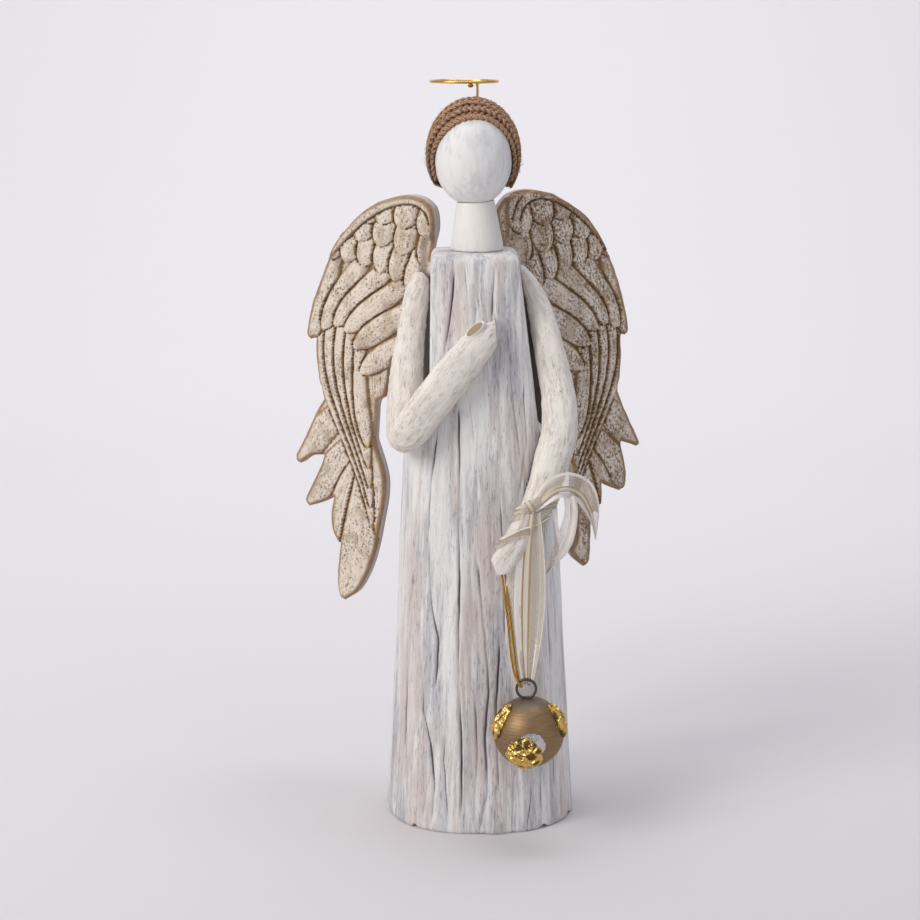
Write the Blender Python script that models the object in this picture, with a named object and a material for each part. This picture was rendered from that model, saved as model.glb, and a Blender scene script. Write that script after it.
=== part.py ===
"""Wooden angel statue: a furrowed log robe with a neck, a faceless head, braided hair, a wire
halo, two carved arms, two carved wings, and a ball bell hung from one wrist.

The numbers are millimetres, and make() turns them into metres. +Z is up, the front faces -Y,
and the origin is the middle of the robe's underside. Left and right are the viewer's.
"""

import math

import bmesh
import bpy
import numpy as np
from mathutils import Vector
from mathutils.geometry import delaunay_2d_cdt

MM = 0.001
GAP = 0.3  # clearance between pieces that touch
FAR = 1000.0  # longer than any of the statue's sizes
TINY = 1e-6
FRONT = np.array([0.0, -1.0, 0.0])

# The robe, a log that tapers and leans a little to the left
ROBE_HEIGHT = 366.5
BASE_HALF_WIDTH = 60.9
BASE_HALF_DEPTH = 60.0
TOP_HALF_WIDTH = 41.3
TOP_HALF_DEPTH = 30.0
LOG_POWER = 2.3
TOP_LEAN = -4.0
TOP_ROUNDING = 6.5
SHOULDER_FLAT_LEFT = 32.0
SHOULDER_FLAT_RIGHT = 23.9
RIGHT_FLAT_SLOPE = 0.118
FLAT_LENGTH = 110.5  # the shoulder flats' length, down from the robe's top
FLAT_EASE = 24.0  # how much lower they have run out into the log
FURROWS = 14  # an even count, so that a ridge runs down the spine
FURROW_DEPTH = 2.8
FURROW_HALF_ANGLE = math.radians(3.2)
FURROW_SEED = 11
FURROW_SWAY = 0.2  # the most that a furrow strays, as a share of their spacing
FURROW_BEND = 0.035
FURROW_WAVE = 47.0
ROWS_BELOW_SEATS = 7
ROWS_BESIDE_SEATS = 5
CUTTER_SIDES = 36
CUTTER_LENGTH = 236.5

# The two planed seats in the robe's back, which hold the wings' roots
WING_SWEEP = math.radians(22.0)
WING_LEAN = 0.05
SPINE_X = -3.0
SEAT_DEPTH = 6.0  # how far the spine lies inside the log's back at the top
SEAT_MARGIN = 4.0  # how much longer a seat is than the root tab on it
SEAT_STEP = 1.5

# The wings: u runs outward from the spine, v is the height above the robe's top, and w stands
# out of the front
WING_THICKNESS = 6.5
WING_TOP = 31.5
WING_DROP = 278.0
RIGHT_WING_TOP = 35.5
RIGHT_WING_DROP = 257.0
RIGHT_WING_SAG = 40.0
RIGHT_WING_REACH = 0.93
OUTLINE_STEP = 5.5
CARVING_STEP = 5.5
EDGE_SHARE = 0.96  # where a feather's edge is carved, as a share of its half width
SPOT_GAP = 1.9  # the least distance between two corners of the carving
TIP_SHARE = 0.6  # where a feather starts to narrow to its tip
CENTRELINE_POINTS = 41
ROBE_CLEARANCE = 2.0  # how far beside the robe the carving starts
RELIEF_EASE = 5.0

# The neck and head
NECK_X = -2.4
NECK_TOP_X = -3.6
NECK_RADIUS = 16.6
NECK_TOP_RADIUS = 10.5
NECK_LENGTH = 37.5
HEAD_SEAT = 7.5  # how deep the head sits in the neck's top
HEAD_HALF = np.array([24.8, 26.0, 31.0])
HEAD_CENTRE = np.array([-4.8, 0.0, ROBE_HEIGHT + NECK_LENGTH - HEAD_SEAT + HEAD_HALF[2]])
HEAD_POWER = 2.15
HEAD_COLUMNS = 16
HEAD_ROWS = 12

# The hair, a cap of braid rows that all start low beside the jaw
HAIR_THICKNESS = np.array([4.6, 4.6, 3.0])
HAIR_POLE_DROP = 18.0
HAIR_ROWS = 9
HAIR_ROW_RELIEF = 1.9
HAIR_BOTTOM = HEAD_CENTRE[2] - 0.742 * HEAD_HALF[2]
HAIR_EDGE_Y = -1.0
FACE_APEX = (HEAD_CENTRE[0] + 0.234 * HEAD_HALF[0], HEAD_CENTRE[2] + 0.742 * HEAD_HALF[2])
FACE_HALF_WIDTH = 0.976 * HEAD_HALF[0]
FACE_SHOULDER_Z = HEAD_CENTRE[2] - 0.242 * HEAD_HALF[2]
FACE_JAW_SHARE = 0.6

# The halo, a wire ring on a stem
HALO_RADIUS = 21.2
HALO_HEIGHT = HEAD_CENTRE[2] + HEAD_HALF[2] + 12.7
WIRE_RADIUS = 0.9
STEM_X = -2.6
STEM_Y = 0.0
HALO_OFFSET_X = -8.0
WIRE_END_RADIUS = 1.5
WIRE_END_X = -4.0  # from the stem
WIRE_END_DROP = 2.0
STEM_SHARE = 0.96

# The arms, from the shoulder down: rows of how far a place lies out from the shoulder flat, y,
# the drop below the robe's top, half width and half depth. The rows without a y rest on the chest.
LEFT_UPPER_ARM = (
    (5.6, 1.0, 14.0, 2.6, 3.4),
    (6.6, 0.0, 18.0, 5.6, 6.6),
    (8.2, -1.5, 26.5, 7.9, 8.4),
    (11.0, -7.0, 44.5, 8.6, 9.2),
    (13.4, -14.0, 61.5, 9.6, 9.8),
    (15.3, -22.0, 79.5, 10.7, 10.4),
    (16.4, -29.0, 98.5, 11.2, 10.8),
    (16.4, -33.5, 113.5, 10.6, 10.2),
    (15.6, -34.5, 121.0, 7.4, 7.2),
    (15.2, -34.6, 124.0, 3.0, 3.0),
)
LEFT_FOREARM = (
    (20.2, 116.7, 3.2, 3.2),
    (16.9, 113.3, 9.0, 7.4),
    (11.0, 107.0, 11.4, 9.4),
    (2.5, 95.0, 12.0, 9.4),
    (-14.8, 72.9, 12.3, 9.0),
    (-28.5, 56.0, 11.0, 8.2),
    (-36.0, 48.1, 8.6, 6.6),
    (-40.6, 42.9, 4.6, 4.6),
)
ELBOW_Y = -36.5
CHEST_EDGE = 6.0  # the chest's edge, in from the shoulder flat
LEFT_THUMB = (
    (-17.5, 62.5, 4.0, 4.0),
    (-24.0, 54.5, 5.6, 5.4),
    (-30.0, 46.0, 5.0, 5.0),
    (-31.4, 42.9, 4.2, 4.4),
)
THUMB_SET_BACK = 1.5
RIGHT_ARM = (
    (6.5, 1.0, 10.5, 2.6, 3.2),
    (7.7, 0.0, 14.5, 5.4, 6.0),
    (9.7, -2.5, 22.5, 7.2, 7.6),
    (14.5, -5.0, 31.5, 7.2, 8.2),
    (17.5, -8.0, 43.5, 8.2, 8.8),
    (21.0, -14.0, 61.5, 9.2, 9.6),
    (23.7, -20.0, 77.5, 10.5, 10.4),
    (25.7, -27.0, 94.5, 11.2, 10.8),
    (24.3, -34.5, 111.5, 11.6, 11.2),
    (20.5, -42.5, 126.5, 11.4, 11.0),
    (16.1, -49.5, 140.0, 10.4, 10.2),
    (9.5, -56.0, 155.5, 9.2, 9.2),
    (2.1, -61.0, 168.0, 8.6, 8.2),
    (-5.3, -64.5, 179.5, 8.2, 7.0),
    (-10.7, -66.0, 187.5, 6.8, 5.4),
    (-12.5, -66.4, 190.3, 3.4, 2.8),
)
PLANED_LENGTH = 50.5  # how far down the right arm is planed to its flat
ARM_SIDES = 10
RIGHT_ARM_STATIONS = 18

# The bell, its hanging ring and its leaf of gold, placed from the wrist
WRIST = np.array([SHOULDER_FLAT_RIGHT + 9.5, -56.0, ROBE_HEIGHT - 155.5])
BELL_X = WRIST[0] - 3.6
BELL_Z = WRIST[2] - 138.3
BELL_RADIUS = 22.2
BELL_REST_GAP = 0.6
BELL_TOUCH_SHARE = 0.1  # how far under its middle the ball touches the log
RING_X = BELL_X - 1.8
RING_RADIUS = 6.0
RING_WIRE = 0.85
RING_SINK = 2.25
LEAF_GAP = 0.7  # enough to clear the ball between the leaf's corners
LEAF_THICKNESS = 0.9
LEAF_DISCS = {
    "gold_leaf_front": ((-0.14, -0.86, -0.48), 0.62),
    "gold_leaf_left": ((-0.80, -0.42, 0.38), 0.52),
    "gold_leaf_right": ((0.80, -0.40, 0.40), 0.52),
}

# The ribbon: two turns round the wrist, a knot, two tails and a drop to the bell's ring. The
# tails' rows are x, y and z from the wrist and a half width; the drop's are x, z, half width
# and half thickness.
RIBBON_THICKNESS = 1.2
WRAP_LAYER = 1.6
WRAP_TOP = WRIST[2] + 11.0
WRAP_BOTTOM = WRIST[2] - 8.0
KNOT = WRIST + np.array([-0.4, -11.5, 6.0])
KNOT_HALF = (7.5, 3.4, 5.2)
LONG_TAIL = (
    (0.6, -11.0, 8.0, 5.0),
    (7.6, -10.0, 16.0, 8.5),
    (16.6, -6.0, 20.0, 9.5),
    (26.6, -1.0, 15.5, 9.5),
    (33.6, 2.5, 5.0, 8.0),
    (37.1, 4.0, -7.0, 5.0),
    (38.2, 4.0, -18.5, 1.0),
)
SHORT_TAIL = (
    (2.6, -11.5, 5.0, 4.5),
    (10.6, -8.5, 5.0, 5.6),
    (19.6, -5.0, 0.5, 6.2),
    (23.6, -3.5, -7.5, 6.6),
    (19.6, -3.0, -20.5, 6.0),
    (9.6, -2.5, -34.0, 1.0),
)
DROP = (
    (-3.4, 1.0, 8.0, 1.3),
    (-4.6, -14.0, 10.5, 1.3),
    (-5.8, -39.0, 12.2, 1.3),
    (-6.0, -71.0, 9.6, 1.5),
    (-5.5, -96.0, 4.5, 2.0),
)
DROP_FORWARD = 1.0  # how far in front of the knot's middle the drop starts
DROP_END_HALF_WIDTH = 3.3
DROP_END_THICKNESS = 1.1

# The gold cord, a loop that hangs from under the hand and goes through the bell's ring; its
# fall is placed from the wrist
CORD_RADIUS = 0.75
CORD_SPREAD = 0.95
CORD_POINTS = 29
CORD_RING_ANGLE = math.radians(31.0)
CORD_FALL = ((-19.5, -5.5, -40.0), (-17.8, -8.3, -54.0), (-15.5, -11.6, -73.0), (-12.8, -15.2, -97.0))


def wing_plane_y(z):
    """Return the height's spine position on the wings' front plane."""
    return TOP_HALF_DEPTH - SEAT_DEPTH + WING_LEAN * (ROBE_HEIGHT - z)


def robe_centre_x(z):
    """Return the middle of the robe at a height: the log leans a little to the left."""
    return TOP_LEAN * (z / ROBE_HEIGHT) ** 2


def smooth_step(value):
    """Ease from 0 to 1 as the value goes from 0 to 1."""
    t = np.clip(value, 0.0, 1.0)
    return t * t * (3.0 - 2.0 * t)


def robe_flats(z):
    """Return how far the left and right shoulder flats stand from the origin's plane."""
    log = BASE_HALF_WIDTH
    full = ROBE_HEIGHT - FLAT_LENGTH
    share = smooth_step((z - full + FLAT_EASE) / FLAT_EASE)
    left = log + (SHOULDER_FLAT_LEFT - log) * share
    right_flat = SHOULDER_FLAT_RIGHT + RIGHT_FLAT_SLOPE * (ROBE_HEIGHT - TOP_ROUNDING - z)
    right = log + (right_flat - log) * share
    return left, right


def seat_bottom():
    """Return the level where the two seats end, just under the wings' root tabs."""
    return ROBE_HEIGHT + ROOT_TAB[0][1] - SEAT_MARGIN


def robe_body(angle, z):
    """Return the robe's radius, without furrows, at an angle from the front and a height.

    The log is a rounded square in plan. The shoulder flats and the two wing seats cut it.
    """
    sine = np.sin(angle)
    cosine = np.cos(angle)
    share = z / ROBE_HEIGHT
    width = BASE_HALF_WIDTH + (TOP_HALF_WIDTH - BASE_HALF_WIDTH) * share
    depth = BASE_HALF_DEPTH + (TOP_HALF_DEPTH - BASE_HALF_DEPTH) * share
    inverse = np.abs(sine / width) ** LOG_POWER + np.abs(cosine / depth) ** LOG_POWER
    radius = inverse ** (-1.0 / LOG_POWER)
    left, right = robe_flats(z)
    middle = robe_centre_x(z)
    to_left = np.where(sine < -TINY, (left + middle) / np.maximum(-sine, TINY), FAR)
    to_right = np.where(sine > TINY, (right - middle) / np.maximum(sine, TINY), FAR)
    radius = np.minimum(radius, np.minimum(to_left, to_right))
    slope = math.tan(WING_SWEEP)
    seat_y = wing_plane_y(z) - GAP / math.cos(WING_SWEEP)
    seats = []
    for side in (-1.0, 1.0):
        lean = -cosine - slope * side * sine
        reach = seat_y + slope * side * (middle - SPINE_X)
        seats.append(np.where(lean > TINY, reach / np.maximum(lean, TINY), FAR))
    seat = np.where(z > seat_bottom(), np.maximum(seats[0], seats[1]), FAR)
    return np.minimum(radius, seat)


def furrow_angles():
    """Return the angle of each furrow: even round the log, with a seeded sway."""
    random = np.random.default_rng(FURROW_SEED)
    step = 2.0 * math.pi / FURROWS
    sway = random.uniform(-FURROW_SWAY, FURROW_SWAY, FURROWS)
    return (np.arange(FURROWS) + 0.5 + sway) * step


def robe_rings():
    """Return the robe's rings, with columns on each furrow's bed, rims and ridges."""
    angles = furrow_angles()
    following = np.roll(angles, -1)
    following[-1] += 2.0 * math.pi
    columns = []
    beds = []
    for here, after in zip(angles, following):
        columns += [here - FURROW_HALF_ANGLE, here, here + FURROW_HALF_ANGLE, 0.5 * (here + after)]
        beds += [0.0, 1.0, 0.0, 0.0]
    columns = np.array(columns)
    beds = np.array(beds)
    below = np.linspace(0.0, seat_bottom(), ROWS_BELOW_SEATS)
    shoulder = ROBE_HEIGHT - TOP_ROUNDING
    above = np.linspace(seat_bottom() + SEAT_STEP, shoulder, ROWS_BESIDE_SEATS)
    rounding = np.radians([35.0, 65.0, 90.0])
    top = shoulder + TOP_ROUNDING * np.sin(rounding)
    heights = np.concatenate([below, above, top])
    drawn_in = np.concatenate([np.zeros(len(below) + len(above)), 1.0 - np.cos(rounding)])
    rings = []
    spine = 4 * (FURROWS // 2) - 1
    for z, inward in zip(heights, drawn_in):
        swing = columns + FURROW_BEND * np.sin(z / FURROW_WAVE + 3.0 * columns)
        swing[spine] = math.pi - math.atan2(SPINE_X - robe_centre_x(z), wing_plane_y(z))
        radius = robe_body(swing, z) - TOP_ROUNDING * inward
        fade = 0.55 + 0.45 * np.sin(z / FURROW_WAVE + 5.0 * columns) ** 2
        radius = radius - FURROW_DEPTH * beds * fade
        x = robe_centre_x(z) + radius * np.sin(swing)
        y = -radius * np.cos(swing)
        rings.append(np.column_stack([x, y, np.full_like(x, z)]))
    return np.array(rings)


def robe_seat_cutter():
    """Return the smooth robe grown by a gap, which carves the seats of what rests on it."""
    angles = np.arange(CUTTER_SIDES) * 2.0 * math.pi / CUTTER_SIDES
    full = ROBE_HEIGHT - FLAT_LENGTH
    eased = full - FLAT_EASE
    levels = [ROBE_HEIGHT - CUTTER_LENGTH, eased, 0.5 * (eased + full), full, ROBE_HEIGHT]
    rings = []
    for z in levels:
        radius = robe_body(angles, z) + 2.0 * GAP
        x = robe_centre_x(z) + radius * np.sin(angles)
        rings.append(np.column_stack([x, -radius * np.cos(angles), np.full_like(x, z)]))
    return loft(np.array(rings))


def robe_front(x, z):
    """Return the robe's front y at an x and a height, found by walking the radius inward."""
    offset = x - robe_centre_x(z)
    distance = BASE_HALF_DEPTH
    for _ in range(12):
        angle = math.atan2(offset, distance)
        distance = float(robe_body(np.array([angle]), z)[0]) * math.cos(angle)
    return -distance


def smooth_path(rows, count):
    """Return count rows along a Catmull-Rom curve through the given rows of numbers."""
    rows = np.array(rows, dtype=float)
    padded = np.vstack([2.0 * rows[0] - rows[1], rows, 2.0 * rows[-1] - rows[-2]])
    spots = np.linspace(0.0, len(rows) - 1.0, count)
    result = []
    for spot in spots:
        i = min(int(spot), len(rows) - 2)
        t = spot - i
        a, b, c, d = padded[i : i + 4]
        result.append(
            0.5 * (2.0 * b + (c - a) * t + (2 * a - 5 * b + 4 * c - d) * t**2 + (3 * b - a - 3 * c + d) * t**3)
        )
    return np.array(result)


def unit(vectors):
    """Return the vectors at length one."""
    return vectors / np.linalg.norm(vectors, axis=-1, keepdims=True)


def tube_rings(path, half_widths, half_depths, facing, sides):
    """Return oval rings along a path; the width lies across both the path and facing."""
    along = unit(np.gradient(path, axis=0))
    across = unit(np.cross(along, facing))
    outward = np.cross(across, along)
    turn = np.arange(sides) * 2.0 * math.pi / sides
    rings = path[:, None, :] + across[:, None, :] * half_widths[:, None, None] * np.cos(turn)[None, :, None]
    return rings + outward[:, None, :] * half_depths[:, None, None] * np.sin(turn)[None, :, None]


def loft(rings):
    """Return the vertices and faces of a closed skin over rings, with a fan at each end."""
    count, sides, _ = rings.shape
    vertices = list(rings.reshape(-1, 3)) + [rings[0].mean(axis=0), rings[-1].mean(axis=0)]
    faces = []
    for i in range(count - 1):
        for j in range(sides):
            k = (j + 1) % sides
            faces.append((i * sides + j, i * sides + k, (i + 1) * sides + k, (i + 1) * sides + j))
    low = count * sides
    high = low + 1
    last = (count - 1) * sides
    for j in range(sides):
        k = (j + 1) % sides
        faces.append((low, k, j))
        faces.append((high, last + j, last + k))
    return vertices, faces


def material(name, colour, roughness, metallic):
    """Return a Principled material with these plain values."""
    made = bpy.data.materials.new(name)
    made.use_nodes = True
    shader = made.node_tree.nodes["Principled BSDF"]
    shader.inputs["Base Color"].default_value = (*colour, 1.0)
    shader.inputs["Roughness"].default_value = roughness
    shader.inputs["Metallic"].default_value = metallic
    made.diffuse_color = (*colour, 1.0)
    return made


def make(name, skin, finish, sharp=40.0):
    """Make a mesh object from vertices and faces in millimetres, its faces pointing out."""
    vertices, faces = skin
    mesh = bpy.data.meshes.new(name)
    mesh.from_pydata([tuple(float(c) * MM for c in v) for v in vertices], [], faces)
    shape = bmesh.new()
    shape.from_mesh(mesh)
    bmesh.ops.recalc_face_normals(shape, faces=shape.faces)
    shape.to_mesh(mesh)
    shape.free()
    mesh.shade_smooth()
    mesh.set_sharp_from_angle(angle=math.radians(sharp))
    made = bpy.data.objects.new(name, mesh)
    bpy.context.scene.collection.objects.link(made)
    if finish is not None:
        mesh.materials.append(finish)
    return made


def guide(name, skin):
    """Make a cutter or a joined-in shape, which the finished part doesn't show by itself."""
    made = make(name, skin, None)
    made.hide_render = True
    made.display_type = "WIRE"
    return made


def combine(target, guides, operation):
    """Join all guides to an object, or cut them from it, in one exact Boolean modifier."""
    group = bpy.data.collections.new(f"{target.name}_{operation.lower()}")
    for shape in guides:
        group.objects.link(shape)
    modifier = target.modifiers.new(group.name, "BOOLEAN")
    modifier.operation = operation
    modifier.solver = "EXACT"
    modifier.operand_type = "COLLECTION"
    modifier.collection = group


def ellipsoid_rings(centre, half, power, grow, columns, rows):
    """Return level rings of an egg whose plan is round and whose side is a soft square."""
    rings = []
    for row in range(1, rows):
        lift = -math.cos(math.pi * row / rows)
        reach = (1.0 - abs(lift) ** power) ** (1.0 / power)
        turn = np.arange(columns) * 2.0 * math.pi / columns
        x = centre[0] + (half[0] + grow) * reach * np.cos(turn)
        y = centre[1] + (half[1] + grow) * reach * np.sin(turn)
        rings.append(np.column_stack([x, y, np.full_like(x, centre[2] + (half[2] + grow) * lift)]))
    return np.array(rings)


def egg(centre, half, power, grow, columns, rows):
    """Return an egg's skin, closed at both poles."""
    vertices, faces = loft(ellipsoid_rings(centre, half, power, grow, columns, rows))
    vertices[-2] = centre - np.array([0.0, 0.0, half[2] + grow])
    vertices[-1] = centre + np.array([0.0, 0.0, half[2] + grow])
    return vertices, faces


def cylinder(low, high, radius, sides):
    """Return a round bar's skin between two points."""
    path = np.array([low, high], dtype=float)
    along = unit(path[1] - path[0])
    facing = np.array([0.0, 1.0, 0.0]) if abs(along[1]) < 0.9 else np.array([1.0, 0.0, 0.0])
    sizes = np.full(2, radius)
    return loft(tube_rings(path, sizes, sizes, facing, sides))


def torus(centre, radius, wire, upright, around, sides):
    """Return a wire ring's skin, level or upright in the XZ plane."""
    vertices = []
    for i in range(around):
        turn = 2.0 * math.pi * i / around
        for j in range(sides):
            tilt = 2.0 * math.pi * (j + 0.5) / sides
            reach = radius + wire * math.cos(tilt)
            rise = wire * math.sin(tilt)
            spot = (reach * math.cos(turn), reach * math.sin(turn), rise)
            if upright:
                spot = (spot[0], spot[2], spot[1])
            vertices.append(np.array(centre) + np.array(spot))
    faces = []
    for i in range(around):
        for j in range(sides):
            a = i * sides + j
            b = i * sides + (j + 1) % sides
            c = ((i + 1) % around) * sides + (j + 1) % sides
            d = ((i + 1) % around) * sides + j
            faces.append((a, b, c, d))
    return vertices, faces


def make_robe(finish):
    """Make the furrowed log robe."""
    return make("robe", loft(robe_rings()), finish, 25.0)


def neck_skin():
    """Return the neck, a turned taper that stands on the robe."""
    share = np.linspace(0.0, 1.0, 5)
    heights = ROBE_HEIGHT + GAP + (NECK_LENGTH - GAP) * share
    x = NECK_X + (NECK_TOP_X - NECK_X) * share
    path = np.column_stack([x, np.zeros_like(x), heights])
    radius = NECK_RADIUS + (NECK_TOP_RADIUS - NECK_RADIUS) * share**1.25
    turn = np.arange(18) * 2.0 * math.pi / 18
    circle = np.column_stack([np.cos(turn), np.sin(turn), np.zeros_like(turn)])
    return loft(path[:, None, :] + radius[:, None, None] * circle[None, :, :])


def make_head_and_neck(finish):
    """Make the egg of the head, and the neck whose top is hollowed to seat it."""
    make("head", egg(HEAD_CENTRE, HEAD_HALF, HEAD_POWER, 0.0, HEAD_COLUMNS, HEAD_ROWS), finish)
    neck = make("neck", neck_skin(), finish)
    grown_head = egg(HEAD_CENTRE, HEAD_HALF, HEAD_POWER, GAP, HEAD_COLUMNS, HEAD_ROWS)
    combine(neck, [guide("neck_seat_cutter", grown_head)], "DIFFERENCE")


def hair_outer():
    """Return the hair's outside: rows of locks fanned about a line low inside the head."""
    half = HEAD_HALF + HAIR_THICKNESS
    origin = HEAD_CENTRE - np.array([0.0, 0.0, HAIR_POLE_DROP])
    rows = 4 * HAIR_ROWS
    steps = 10
    rings = []
    for step in range(1, steps):
        sideways = math.pi * (step / steps - 0.5)
        ring = []
        for row in range(rows):
            turn = 2.0 * math.pi * row / rows
            ray = np.array(
                [
                    math.sin(sideways),
                    -math.cos(sideways) * math.cos(turn),
                    math.cos(sideways) * math.sin(turn),
                ]
            )
            start = (origin - HEAD_CENTRE) / half
            slope = ray / half
            a = slope @ slope
            b = start @ slope
            c = start @ start - 1.0
            reach = (-b + math.sqrt(b * b - a * c)) / a
            swell = HAIR_ROW_RELIEF * (0.5 if row % 2 else -0.5) * math.cos(sideways)
            ring.append(origin + ray * (reach + swell))
        rings.append(ring)
    vertices, faces = loft(np.array(rings))
    edge = half[0] * math.sqrt(1.0 - (HAIR_POLE_DROP / half[2]) ** 2)
    vertices[-2] = origin - np.array([edge, 0.0, 0.0])
    vertices[-1] = origin + np.array([edge, 0.0, 0.0])
    return vertices, faces


def face_opening():
    """Return the cutter that leaves the face bare: an arch, pushed in from the front."""
    turn = np.linspace(0.0, math.pi, 13)
    x = HEAD_CENTRE[0] + FACE_HALF_WIDTH * np.cos(turn)
    x += (FACE_APEX[0] - HEAD_CENTRE[0]) * np.sin(turn) ** 2
    z = FACE_SHOULDER_Z + (FACE_APEX[1] - FACE_SHOULDER_Z) * np.sin(turn) ** 0.9
    low = HEAD_CENTRE[2] - HEAD_HALF[2] - HAIR_THICKNESS[2]
    jaw = FACE_JAW_SHARE * FACE_HALF_WIDTH
    x = np.concatenate([x, [HEAD_CENTRE[0] - jaw, HEAD_CENTRE[0] + jaw]])
    z = np.concatenate([z, [low, low]])
    front = np.column_stack([x, np.full_like(x, -2.0 * HEAD_HALF[1]), z])
    back = np.column_stack([x, np.full_like(x, HAIR_EDGE_Y), z])
    return loft(np.array([front, back]))


def make_hair(finish):
    """Make the hair: the rows' outside, less the head, the face, the nape and the stem's hole."""
    hair = make("hair", hair_outer(), finish, 30.0)
    middle = HEAD_CENTRE[0]
    slab_radius = 2.0 * HEAD_HALF[1]
    slab_low = np.array([middle, 0.0, HAIR_BOTTOM - slab_radius])
    slab_high = np.array([middle, 0.0, HAIR_BOTTOM])
    stem_low = (STEM_X, STEM_Y, HEAD_CENTRE[2])
    stem_high = (STEM_X, STEM_Y, HALO_HEIGHT)
    cutters = [
        guide("hair_head_cutter", egg(HEAD_CENTRE, HEAD_HALF, HEAD_POWER, GAP, HEAD_COLUMNS, HEAD_ROWS)),
        guide("hair_face_cutter", face_opening()),
        guide("hair_nape_cutter", cylinder(slab_low, slab_high, slab_radius, 24)),
        guide("hair_stem_cutter", cylinder(stem_low, stem_high, WIRE_RADIUS + GAP, 8)),
    ]
    combine(hair, cutters, "DIFFERENCE")


def halo_centre():
    """Return the ring's middle: the stem meets the ring on its centreline."""
    offset_y = math.sqrt(HALO_RADIUS**2 - HALO_OFFSET_X**2)
    return np.array([STEM_X + HALO_OFFSET_X, STEM_Y + offset_y, HALO_HEIGHT])


def head_top(x, y):
    """Return the head's height at a place on its crown."""
    reach = math.hypot((x - HEAD_CENTRE[0]) / HEAD_HALF[0], (y - HEAD_CENTRE[1]) / HEAD_HALF[1])
    return HEAD_CENTRE[2] + HEAD_HALF[2] * (1.0 - reach**HEAD_POWER) ** (1.0 / HEAD_POWER)


def make_halo(finish):
    """Make the wire halo: the ring, the stem down to the head, and the wire's bent end."""
    centre = halo_centre()
    halo = make("halo", torus(centre, HALO_RADIUS, WIRE_RADIUS, False, 28, 6), finish)
    foot = (STEM_X, STEM_Y, head_top(STEM_X, STEM_Y) + 2.0 * GAP)
    stem = guide("halo_stem", cylinder(foot, (STEM_X, STEM_Y, HALO_HEIGHT), WIRE_RADIUS * STEM_SHARE, 8))
    aside = WIRE_END_X - HALO_OFFSET_X
    end_spot = centre + np.array([aside, -math.sqrt(HALO_RADIUS**2 - aside**2), -WIRE_END_DROP])
    end = guide("halo_wire_end", egg(end_spot, np.full(3, WIRE_END_RADIUS), 2.0, 0.0, 8, 6))
    combine(halo, [stem, end], "UNION")


def arm_rings(rows, grow, count):
    """Return an arm's oval rings from rows of x, y, z, half width and half depth."""
    path = smooth_path(rows, count)
    return tube_rings(path[:, :3], path[:, 3] + grow, path[:, 4] + grow, FRONT, ARM_SIDES)


def upper_arm_rows():
    """Return the left upper arm's rows, hung from the left shoulder flat."""
    rows = np.array(LEFT_UPPER_ARM)
    rows[:, 0] = -SHOULDER_FLAT_LEFT - rows[:, 0]
    rows[:, 2] = ROBE_HEIGHT - rows[:, 2]
    return rows


def forearm_rows():
    """Return the left forearm's rows, its back resting on the robe's front."""
    rows = []
    for out, drop, half_width, half_depth in LEFT_FOREARM:
        x = -SHOULDER_FLAT_LEFT - out
        z = ROBE_HEIGHT - drop
        chest = robe_front(max(x, CHEST_EDGE - SHOULDER_FLAT_LEFT), z) - half_depth
        rows.append((x, min(chest, ELBOW_Y), z, half_width, half_depth))
    return rows


def thumb_rows():
    """Return the thumb's rows, a short stub set behind and above the fingers."""
    rows = []
    for out, drop, half_width, half_depth in LEFT_THUMB:
        x = -SHOULDER_FLAT_LEFT - out
        z = ROBE_HEIGHT - drop
        chest = robe_front(x, z) - half_depth
        rows.append((x, chest + THUMB_SET_BACK, z, half_width, half_depth))
    return rows


def make_left_arm(finish):
    """Make the bent arm: upper arm, forearm and thumb, carved as one piece."""
    rings = arm_rings(upper_arm_rows(), 0.0, 12)
    seat = -SHOULDER_FLAT_LEFT - GAP
    rings[..., 0] = np.minimum(rings[..., 0], seat)
    arm = make("arm_left", loft(rings), finish)
    forearm = guide("arm_left_forearm", loft(arm_rings(forearm_rows(), 0.0, 11)))
    thumb = guide("arm_left_thumb", loft(arm_rings(thumb_rows(), 0.0, 4)))
    combine(arm, [forearm, thumb], "UNION")
    combine(arm, [guide("arm_left_seat_cutter", robe_seat_cutter())], "DIFFERENCE")


def right_arm_rings(grow, count):
    """Return the hanging arm's rings, its shoulder planed to the robe's right flat."""
    rows = np.array(RIGHT_ARM)
    rows[:, 0] += SHOULDER_FLAT_RIGHT
    rows[:, 2] = ROBE_HEIGHT - rows[:, 2]
    rings = arm_rings(rows, grow, count)
    z = rings[..., 2]
    flat = SHOULDER_FLAT_RIGHT + RIGHT_FLAT_SLOPE * (ROBE_HEIGHT - TOP_ROUNDING - z) + GAP
    shoulder = z > ROBE_HEIGHT - PLANED_LENGTH
    rings[..., 0] = np.where(shoulder, np.maximum(rings[..., 0], flat), rings[..., 0])
    return rings


def make_right_arm(finish):
    """Make the hanging arm, with its mitten hand."""
    make("arm_right", loft(right_arm_rings(0.0, RIGHT_ARM_STATIONS)), finish)


def wing_root():
    """Return where a wing's root starts, so that the two backs don't meet at the spine."""
    return WING_THICKNESS * math.tan(WING_SWEEP) + GAP


def wing_shape(side, spots):
    """Return u and v for one side: the right wing is a little smaller, hand-carved work."""
    spots = np.array(spots, dtype=float)
    if side < 0:
        return spots
    drop = (WING_TOP - spots[..., 1]) / WING_DROP
    u = wing_root() + (spots[..., 0] - wing_root()) * RIGHT_WING_REACH
    v = RIGHT_WING_TOP - RIGHT_WING_DROP * drop - RIGHT_WING_SAG * drop * (1.0 - drop)
    return np.stack([u, v], axis=-1)


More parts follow.
